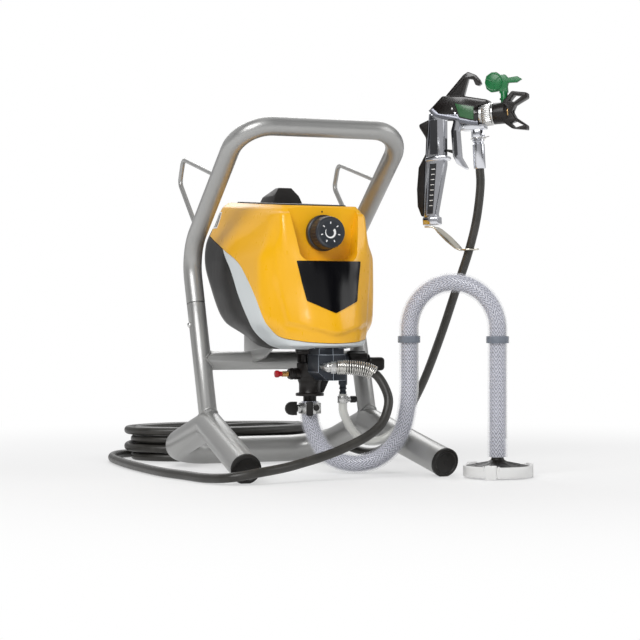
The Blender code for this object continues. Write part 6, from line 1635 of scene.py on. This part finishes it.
# ============================================================================== pump
@dataclass
class Pump:
    """The moulded inlet valve, its pusher, the relief knob and the hose clamps' fittings."""

    piston_y: float = -0.0670
    pusher_height: float = 0.1339
    relief: Sequence[float] = (0.0398, -0.1000, 0.1530)

    def build(self) -> None:
        """Build every piece of the pump that isn't dressed as it is."""
        self.make_inlet()
        self.make_pusher()
        self.make_relief_knob()
        self.make_clamp_latch()

    def make_inlet(self) -> None:
        """Mould the inlet valve's stepped body with its ribs, side boss, web and barb."""
        centre = (0.0, self.piston_y, 0.0)
        profile = tenths((0, 1677), (190, 1677), (195, 1672), (195, 1645), (188, 1640), (182, 1634),
                         (182, 1606), (176, 1600), (144, 1592), (140, 1586), (140, 1500), (144, 1492),
                         (170, 1484), (175, 1476), (175, 1300), (170, 1286), (162, 1278), (160, 1240),
                         (152, 1226), (146, 1200), (145, 1096), (150, 1086), (184, 1080), (190, 1074),
                         (190, 1047), (184, 1041), (94, 1040), (88, 1030), (88, 964), (80, 950), (76, 905),
                         (80, 895), (73, 850), (73, 800), (0, 800))
        boss = tenths((28, 178), (28, 268), (42, 268), (42, 310), (64, 310), (70, 304), (70, 286), (78, 278),
                      (78, 250), (68, 244), (68, 226), (78, 220), (78, 0), (0, 0), (0, 178))
        things = [Stock.turned(profile, centre, Z, 64),
                  Stock.turned(boss, (0.0, self.piston_y, self.pusher_height), -X, 40)]
        for turn in around(8):
            rib = Bench.ease(Stock.block((0.0130, -0.0011, 0.1495), (0.0178, 0.0011, 0.1598)), 0.0005, 2)
            things.append(Bench.moved(rib, Matrix.Translation(centre) @ Matrix.Rotation(turn, 4, "Z")))
        web = tenths((40, 1084), (185, 1084), (262, 1240), (262, 1300), (100, 1440), (40, 1440))
        for y in (-0.0700, -0.0640):
            things.append(Bench.ease(Stock.plate(web, 0.0014, Stock.front(y)), 0.0005, 2))
        Bench.deliver(Bench.gather(*things), "inlet_valve_moulded", GUN_BLACK,
                      stands_for=["inlet_valve_body"])

    def make_pusher(self) -> None:
        """Make the brass stem with its return spring and the short red button."""
        y, z = self.piston_y, self.pusher_height
        stem = Stock.cylinder((-0.0215, y, z), (-0.0420, y, z), 0.0022, 24)
        offsets = (polar(0.0034, math.tau * step / 16) for step in range(97))
        spring = Stock.sweep([(-0.0316 - 0.0088 * step / 96, y + across, z + up)
                              for step, (across, up) in enumerate(offsets)], 0.00055, 8)
        Bench.deliver(Bench.gather(stem, spring), "pusher_stem", BRASS, "pusher")
        cap = tenths((0, 505), (34, 505), (43, 500), (48, 490), (48, 462), (43, 450), (34, 440), (34, 412),
                     (0, 412))
        Bench.deliver(Stock.turned(cap, (0.0, y, z), -X, 32), "pusher_button", RED, "pusher",
                      stands_for=["inlet_pusher"])

    def make_relief_knob(self) -> None:
        """Mould the lobed relief knob with its rounded wing."""
        start = Vector(self.relief)
        lobes = [polar(0.0107 + 0.0008 * math.cos(turn * 8), turn) for turn in around(72)]
        hub = Bench.ease(Stock.plate(lobes, 0.0135, Stock.aim(start + X * 0.0135, X)), 0.0022, 4, 40)
        neck = Stock.cylinder(start + X * 0.0240, start + X * 0.0310, 0.0072, 32)
        wing = Bench.ease(Stock.block((0.0668, -0.1130, 0.1380), (0.0908, -0.0940, 0.1560)), 0.0050, 5)
        Bench.deliver(Bench.gather(hub, neck, wing), "relief_knob_lobed", GUN_BLACK, "relief",
                      stands_for=["relief_knob"])

    def make_clamp_latch(self) -> None:
        """Put the band's moulded latch in front of the suction hose."""
        latch = Bench.ease(Stock.block((-0.0046, -0.0192, 0.0780), (0.0046, -0.0146, 0.0970)), 0.0016, 3)
        dome = Stock.turned(tenths((0, 30), (30, 27), (42, 12), (42, 0), (0, 0)),
                            (0.0090, -0.0128, 0.0885), -Y, 24)
        facing = Matrix.Translation((0, self.piston_y, 0)) @ Matrix.Rotation(math.radians(-24), 4, "Z")
        Bench.deliver(Bench.moved(Bench.gather(latch, dome), facing), "suction_clamp_latch", BLACK)


# ========================================================================= spray gun
@dataclass
class SprayGun:
    """The gun's head, handle, grip, trigger trim, nut, fitting and strap, in the gun's own frame."""

    place: Matrix
    barrel_height: float = 0.0764
    head: Points = tenths((-640, 880), (-440, 1065), (-140, 1040), (210, 955), (210, 900), (62, 880),
                          (62, 620), (-200, 660), (-240, 720), (-440, 740), (-580, 800))
    hook: Points = tenths((-425, 1050), (-140, 1335), (-70, 1374), (30, 1325), (90, 1250), (112, 1190),
                          (70, 1165), (30, 1180), (0, 1260), (-70, 1275), (-152, 1030))
    handle: Points = tenths((-400, 800), (-430, 720), (-460, 110), (-620, -560), (-600, -690), (-810, -700),
                            (-755, 0), (-650, 850))
    grip: Points = tenths((-650, 760), (-815, 700), (-800, 650), (-715, 500), (-735, 280), (-845, 100),
                          (-885, -200), (-888, -440), (-835, -600), (-760, -560), (-700, 0), (-620, 700))
    panel: Points = tenths((-255, 940), (10, 872), (2, 692), (-195, 750))
    channels: Sequence[Points] = (
        tenths((-640, 745), (-530, 745), (-545, 262), (-660, 262)),
        tenths((-670, 142), (-570, 142), (-660, -560), (-748, -560)))

    def plate(self, outline: Points, half: float, y: float = 0.0) -> Thing:
        """Cut a plate that lies along the gun's middle plane."""
        return Stock.plate(outline, half, Stock.front(y))

    def tube(self, start: float, end: float, radius: float, sides: int = 48) -> Thing:
        """Make a round rod along the barrel's axis."""
        return Stock.cylinder((start, 0, self.barrel_height), (end, 0, self.barrel_height), radius, sides)

    def hand_over(self, thing: Thing, name: str, finish: Finish, body: str = "machine",
                  stands_for: Iterable[str] = ()) -> Thing:
        """Deliver a piece from the gun's frame."""
        return Bench.deliver(thing, name, finish, body, stands_for, self.place, 34)

    def build(self) -> None:
        """Build the gun's pieces."""
        for make in (self.make_head, self.make_frame, self.make_panel, self.make_handle, self.make_grip,
                     self.make_trigger, self.make_nut, self.make_fitting, self.make_strap,
                     self.make_tip_details):
            make()

    @staticmethod
    def trigger_room() -> tuple[Thing, Thing]:
        """Make the slot that the trigger swings in and the bore of its pin."""
        return (Stock.block((-0.0395, -0.0066, 0.0500), (-0.0135, 0.0066, 0.0890)),
                Stock.cylinder((-0.0270, -0.03, 0.0800), (-0.0270, 0.03, 0.0800), 0.0025, 24))

    def room(self, outline: Points) -> Thing:
        """Make the room that a plate of an outline takes up, with its gap, through the gun's whole width."""
        return self.plate(grown(outline, GAP), 0.02)

    def make_head(self) -> None:
        """Mould the black head with its barrel shroud and hook."""
        head = Bench.ease(self.plate(self.head, 0.0120), 0.0032, 4)
        hook = Bench.ease(self.plate(self.hook, 0.0050), 0.0012, 3)
        hollow = tenths((-330, 1080), (-120, 1285), (-90, 1270), (-190, 1070))
        for y in (-0.0050, 0.0050):
            Bench.combine(Join.CARVE, hook, self.plate(hollow, 0.0016, y))
        body = Bench.combine(Join.UNITE, head, self.tube(0.0014, 0.0100, 0.0155), hook)
        Bench.combine(Join.CARVE, body, self.tube(0.0067, 0.0500, 0.0163))
        Bench.combine(Join.CARVE, body, *self.trigger_room())
        nipple = self.tube(0.0030, 0.0272, 0.0070, 32)
        self.hand_over(Bench.gather(body, nipple), "gun_head_moulded", GUN_GLOSS, stands_for=["gun_head"])

    def make_frame(self) -> None:
        """Fit the polished frame that shows below the head and behind it, in chrome darkened to paint the
        shade under the head.
        """
        low = tenths((-642, 876), (-575, 905), (-500, 822), (-400, 800), (-220, 790), (-190, 735), (60, 675),
                     (60, 618), (-202, 656), (-243, 716), (-440, 736), (-580, 796))
        frame = Bench.ease(self.plate(low, 0.0124), 0.0007, 2)
        slot, pin = self.trigger_room()
        inside = Stock.block((-0.0700, -0.0112, 0.0500), (0.0100, 0.0112, 0.1000))
        Bench.combine(Join.CARVE, frame, slot, inside, pin)
        self.hand_over(frame, "gun_head_frame", SHADED_CHROME)

    def make_panel(self) -> None:
        """Set the bare green plate in its dark bezel, with the screw behind it."""
        bezel = Bench.ease(self.plate(grown(self.panel, 0.0016), 0.0006, -0.0121), 0.0003, 2)
        self.hand_over(bezel, "gun_panel_bezel", BLACK)
        self.hand_over(Bench.ease(self.plate(self.panel, 0.0005, -0.0125), 0.0003, 2), "gun_panel_plate",
                       PLATE_GREEN, stands_for=["gun_side_panel"])
        screw = Stock.turned(tenths((0, 16), (12, 14), (19, 6), (20, 0), (0, 0)),
                             (-0.0300, -0.0120, 0.0868), -Y, 24)
        self.hand_over(screw, "gun_panel_screw", STEEL)

    def make_handle(self) -> None:
        """Cast the handle with its sunk channels, finger stop and foot."""
        handle = Bench.ease(self.plate(self.handle, 0.0095), 0.0030, 4)
        stop = tenths((-722, 222), (-560, 240), (-430, 238), (-412, 205), (-430, 175), (-722, 168))
        stop = Bench.ease(self.plate(stop, 0.0130), 0.0014, 3)
        foot = Bench.ease(Stock.block((-0.0815, -0.0105, -0.0715), (-0.0590, 0.0105, -0.0600)), 0.0018, 3)
        Bench.combine(Join.UNITE, handle, stop, foot)
        lock_room = Stock.block((-0.0535, -0.0042, 0.0245), (-0.0300, 0.0042, 0.0480))
        Bench.combine(Join.CARVE, handle, self.room(self.head), lock_room)
        for side in (-1, 1):
            for channel in self.channels:
                Bench.combine(Join.CARVE, handle, self.plate(channel, 0.0022, side * 0.0095))
        self.hand_over(handle, "gun_handle_cast", CHROME, stands_for=["gun_handle"])
        # Near-black plates on the channels' floors paint the shade and dark reflection in them; the white
        # ticks are print.
        shade_floors, ticks = [], []
        for side in (-1, 1):
            shade_floors += [self.plate(grown(channel, -0.0002), 0.0003, side * 0.0075)
                       for channel in self.channels]
            for row in range(8):
                z = 0.0060 - row * 0.0072
                a = -0.0588 - (0.0142 - z) * 0.128
                ticks.append(Stock.block((a - 0.0052, side * 0.0079 - 0.0002, z - 0.0005),
                                         (a, side * 0.0079 + 0.0002, z + 0.0005)))
        self.hand_over(Bench.gather(*shade_floors), "gun_handle_channel_shade", CHANNEL_SHADE)
        self.hand_over(Bench.gather(*ticks), "gun_handle_marks", MARK)

    def make_grip(self) -> None:
        """Mould the soft grip over the handle's back."""
        grip = Bench.ease(self.plate(self.grip, 0.0085), 0.0034, 5)
        Bench.combine(Join.CARVE, grip, self.room(self.head), self.room(self.handle))
        self.hand_over(grip, "gun_grip_moulded", GUN_BLACK, stands_for=["gun_grip"])

    def make_trigger(self) -> None:
        """Lay dark plates on both faces of the trigger's slot as painted shade."""
        slot = tenths((-312, 575), (-272, 575), (-268, 235), (-305, 205), (-318, 240))
        slot_shade = [Bench.ease(self.plate(slot, 0.0003, side * 0.0061), 0.0001, 1) for side in (-1, 1)]
        self.hand_over(Bench.gather(*slot_shade), "trigger_slot_shade", CHANNEL_SHADE, "trigger_body")

    def make_nut(self) -> None:
        """Turn the retaining nut with its grip ribs."""
        ribs = [polar(0.0160 if step % 4 in (1, 2) else 0.0150, turn)
                for step, turn in enumerate(around(144))]
        band = Stock.plate(ribs, 0.0062, Stock.aim((0.0178, 0, self.barrel_height), X))
        rings = [self.tube(0.0070, 0.0112, 0.0146), self.tube(0.0244, 0.0270, 0.0152)]
        nut = Bench.combine(Join.UNITE, band, *rings)
        Bench.ease(nut, 0.0003, 2, 50)
        Bench.combine(Join.CARVE, nut, self.tube(0.0, 0.04, 0.0073, 32))
        self.hand_over(nut, "retaining_nut_ribbed", STEEL, "nut", ["retaining_nut"])

    def make_fitting(self) -> None:
        """Turn the fluid fitting: the block, its hex nut, the collar and the long ferrule."""
        block = Bench.ease(Stock.block((-0.0200, -0.0090, 0.0560), (0.0140, 0.0090, 0.0700)), 0.0012, 3)
        Bench.combine(Join.CARVE, block, self.room(self.head), self.tube(0.0067, 0.05, 0.0163),
                      self.tube(-0.0053, 0.0300, 0.0158))
        profile = tenths((0, 570), (60, 570), (60, 444), (78, 434), (83, 428), (83, 402), (76, 396),
                         (70, 388), (70, 372), (76, 364), (83, 358), (83, 30), (80, 20), (74, 18), (0, 18))
        stem = Stock.turned(profile, (0.0020, 0, 0), Z, 48)
        nut = Bench.ease(Stock.cylinder((0.0020, 0, 0.0450), (0.0020, 0, 0.0565), 0.0098, 6), 0.0008, 3)
        self.hand_over(Bench.gather(block, stem, nut), "fluid_fitting_turned", CHROME,
                       stands_for=["fluid_fitting"])
        wire = [(0.0020 + 0.0104 * math.cos(turn), -0.0104 * math.sin(turn), 0.0440)
                for turn in (math.radians(-60 + 12 * step) for step in range(26))]
        clip = Stock.sweep([(0.0190, -0.0060, 0.0452), *reversed(wire)], 0.0007, 8)
        self.hand_over(clip, "fitting_wire_clip", SPRING)

    def make_strap(self) -> None:
        """Bend the flat strap that steadies the hose, with its punched ring."""
        line = [(-0.0800, -0.0734, 0), (-0.0700, -0.0736, 0), (-0.0640, -0.0762, 8), (-0.0600, -0.0800, 20),
                (-0.0480, -0.0920, 30), (-0.0360, -0.1040, 20), (-0.0310, -0.1080, 6), (-0.0270, -0.1090, 0)]
        rings = []
        for index, (a, b, twist) in enumerate(line):
            before, after = line[max(index - 1, 0)], line[min(index + 1, len(line) - 1)]
            along = Vector((after[0] - before[0], 0, after[1] - before[1])).normalized()
            turn = Matrix.Rotation(math.radians(twist), 3, along)
            wide, thick = turn @ (Y * 0.0070), turn @ (Y.cross(along) * 0.0010)
            rings.append([Vector((a, 0, b)) + wide * w + thick * t
                          for w, t in ((-1, -1), (1, -1), (1, 1), (-1, 1))])
        strap = Bench.ease(Stock.loft(rings), 0.0004, 2, 60)
        ring = Stock.cylinder((-0.0190, 0, -0.1100), (-0.0190, 0, -0.1080), 0.0135, 48)
        Bench.combine(Join.UNITE, strap, Bench.ease(ring, 0.0004, 2, 60))
        hole = Stock.cylinder((-0.0190, 0, -0.1190), (-0.0190, 0, -0.0990), 0.0085, 40)
        Bench.combine(Join.CARVE, strap, hole)
        self.hand_over(strap, "hose_strap_bent", STRAP_STEEL, stands_for=["hose_strap"])

    @staticmethod
    def hoop(radius: float, wire: float, y: float) -> Thing:
        """Bend a round rib about the middle of the tip's flag."""
        points = (polar(radius, turn) for turn in around(40, closed=True))
        return Stock.sweep([(0.0290 + a, y, 0.1198 + b) for a, b in points], wire, 8)

    def make_tip_details(self) -> None:
        """Add the brass seat ring in the guard and the ribs of the tip's flag."""
        arc = (polar(0.0088, math.radians(20 + 10 * step)) for step in range(33))
        seat = Stock.sweep([(0.0476, across, self.barrel_height + up) for up, across in arc], 0.0011, 12)
        self.hand_over(seat, "guard_seat_ring", BRASS, "guard")
        ribs = [self.hoop(0.0125, 0.0006, 0.0)]
        for y in (-0.0036, 0.0036):
            hub = Vector((0.0290, y, 0.1198))
            ribs.append(self.hoop(0.0115, 0.0009, y))
            for x, z in (polar(1.0, math.radians(degrees)) for degrees in (35, 155, 275)):
                arm = Vector((x, 0, z))
                ribs.append(Stock.sweep([hub + arm * 0.0020, hub + arm * 0.0112], 0.0008, 8))
        collar = Stock.turned(tenths((62, 0), (66, 6), (66, 20), (62, 26), (52, 26),
                                     (52, 0)), (0.0420, 0, 0.0942), Z, 32)
        self.hand_over(Bench.gather(*ribs, collar), "spray_tip_ribs", GREEN, "tip")


# ===================================================================== carried nodes
@dataclass(frozen=True)
class Dress:
    """How a node of the frame that stays in view is dressed."""

    finish: Finish
    edge: float = 0.0004
    # A second finish for the bevels; the pump block's paints a highlight along its edges.
    edge_highlight_finish: Finish | None = None


class Wardrobe:
    """Finishes and eased edges for the frame's own nodes."""

    def __init__(self, nodes: dict[str, Thing]) -> None:
        """Keep the frame's nodes."""
        self.nodes = nodes

    def dress(self, name: str, look: Dress) -> None:
        """Give a node its finish and soften its edges without touching its mesh.

        Args:
            name: The node.
            look: Its finish and the width of its eased edges.
        """
        node = self.nodes[name]
        node.data.materials.clear()
        node.data.materials.append(look.finish.material())
        node.data.polygons.foreach_set("material_index", [0] * len(node.data.polygons))
        node.data.polygons.foreach_set("use_smooth", [True] * len(node.data.polygons))
        if look.edge_highlight_finish is not None:
            node.data.materials.append(look.edge_highlight_finish.material())
        weld = node.modifiers.new("weld", "WELD")
        weld.merge_threshold = 0.00002
        if look.edge:
            edge = node.modifiers.new("edges", "BEVEL")
            edge.width, edge.segments, edge.limit_method = look.edge, 2, "ANGLE"
            edge.angle_limit, edge.use_clamp_overlap = math.radians(35), True
            # The bevels take the second finish, which paints a highlight along the edges.
            if look.edge_highlight_finish is not None:
                edge.material = 1
        split = node.modifiers.new("creases", "EDGE_SPLIT")
        split.split_angle = math.radians(38)
        LOG.info("%s: dressed in %s", name, look.finish.name)

    def dress_all(self, looks: dict[str, Dress]) -> None:
        """Dress every node that is still in view."""
        for name, look in looks.items():
            if not self.nodes[name].hide_render:
                self.dress(name, look)
        bare = sorted(name for name, node in self.nodes.items() if not node.hide_render and name not in looks)
        if bare:
            LOG.warning("no finish for %s", ", ".join(bare))


NODE_LOOKS: dict[str, Dress] = {
    **{name: Dress(SILVER, 0.0003) for name in ("lower_upright_left", "lower_upright_right", "crossbar")},
    **{name: Dress(BLACK) for name in (
        "cable_gland", "suction_clamp_screw", "return_clamp_screw", "cooling_fan")},
    **{name: Dress(STEEL, 0.0003) for name in (
        "snap_button_left", "snap_button_right", "gearbox_plate", "motor_can", "drive_gear", "plunger",
        "outlet_fitting", "suction_clamp", "return_clamp")},
    "control_board": Dress(BOARD, 0.0), "motor_armature": Dress(COPPER, 0.0),
    # The pump block's bevels get the pale finish as a painted highlight.
    "pump_block": Dress(SLATE, 0.0018, EDGE_HIGHLIGHT), "relief_valve_body": Dress(SLATE, 0.0003),
    "trigger": Dress(CHROME, 0.0006), "trigger_lock": Dress(BLACK, 0.0003),
    "tip_guard": Dress(GUN_BLACK, 0.0006), "spray_tip": Dress(GREEN, 0.0003),
}


# ============================================================================== main
def corners(pair: tuple[Vector, Vector]) -> list[list[float]]:
    """Turn two corners into plain lists."""
    return [list(corner) for corner in pair]


def gun_matrix() -> Matrix:
    """Give the matrix from the gun's own frame to the design frame."""
    return (Matrix.Translation((0.2490, -0.0810, 0.4130)) @ Matrix.Rotation(math.radians(-43.98), 4, "Z")
            @ Matrix.Rotation(math.radians(-3.0), 4, "Y"))


def main() -> None:
    """Build the looks round the frame, one sub-assembly after the other."""
    logging.basicConfig(level=logging.INFO, format="%(message)s")
    for thing in list(bpy.data.objects):
        bpy.data.objects.remove(thing, do_unlink=True)
    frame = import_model()
    solid_box = corners(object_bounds())
    Studio().build()
    Stand().build()
    Hoses(gun=gun_matrix()).build()
    Housing().build()
    Pump().build()
    SprayGun(gun_matrix()).build()
    Wardrobe(frame["nodes"]).dress_all(NODE_LOOKS)
    {"solids": solid_box, "looks": corners(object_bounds())}


if __name__ == "__main__":
    main()
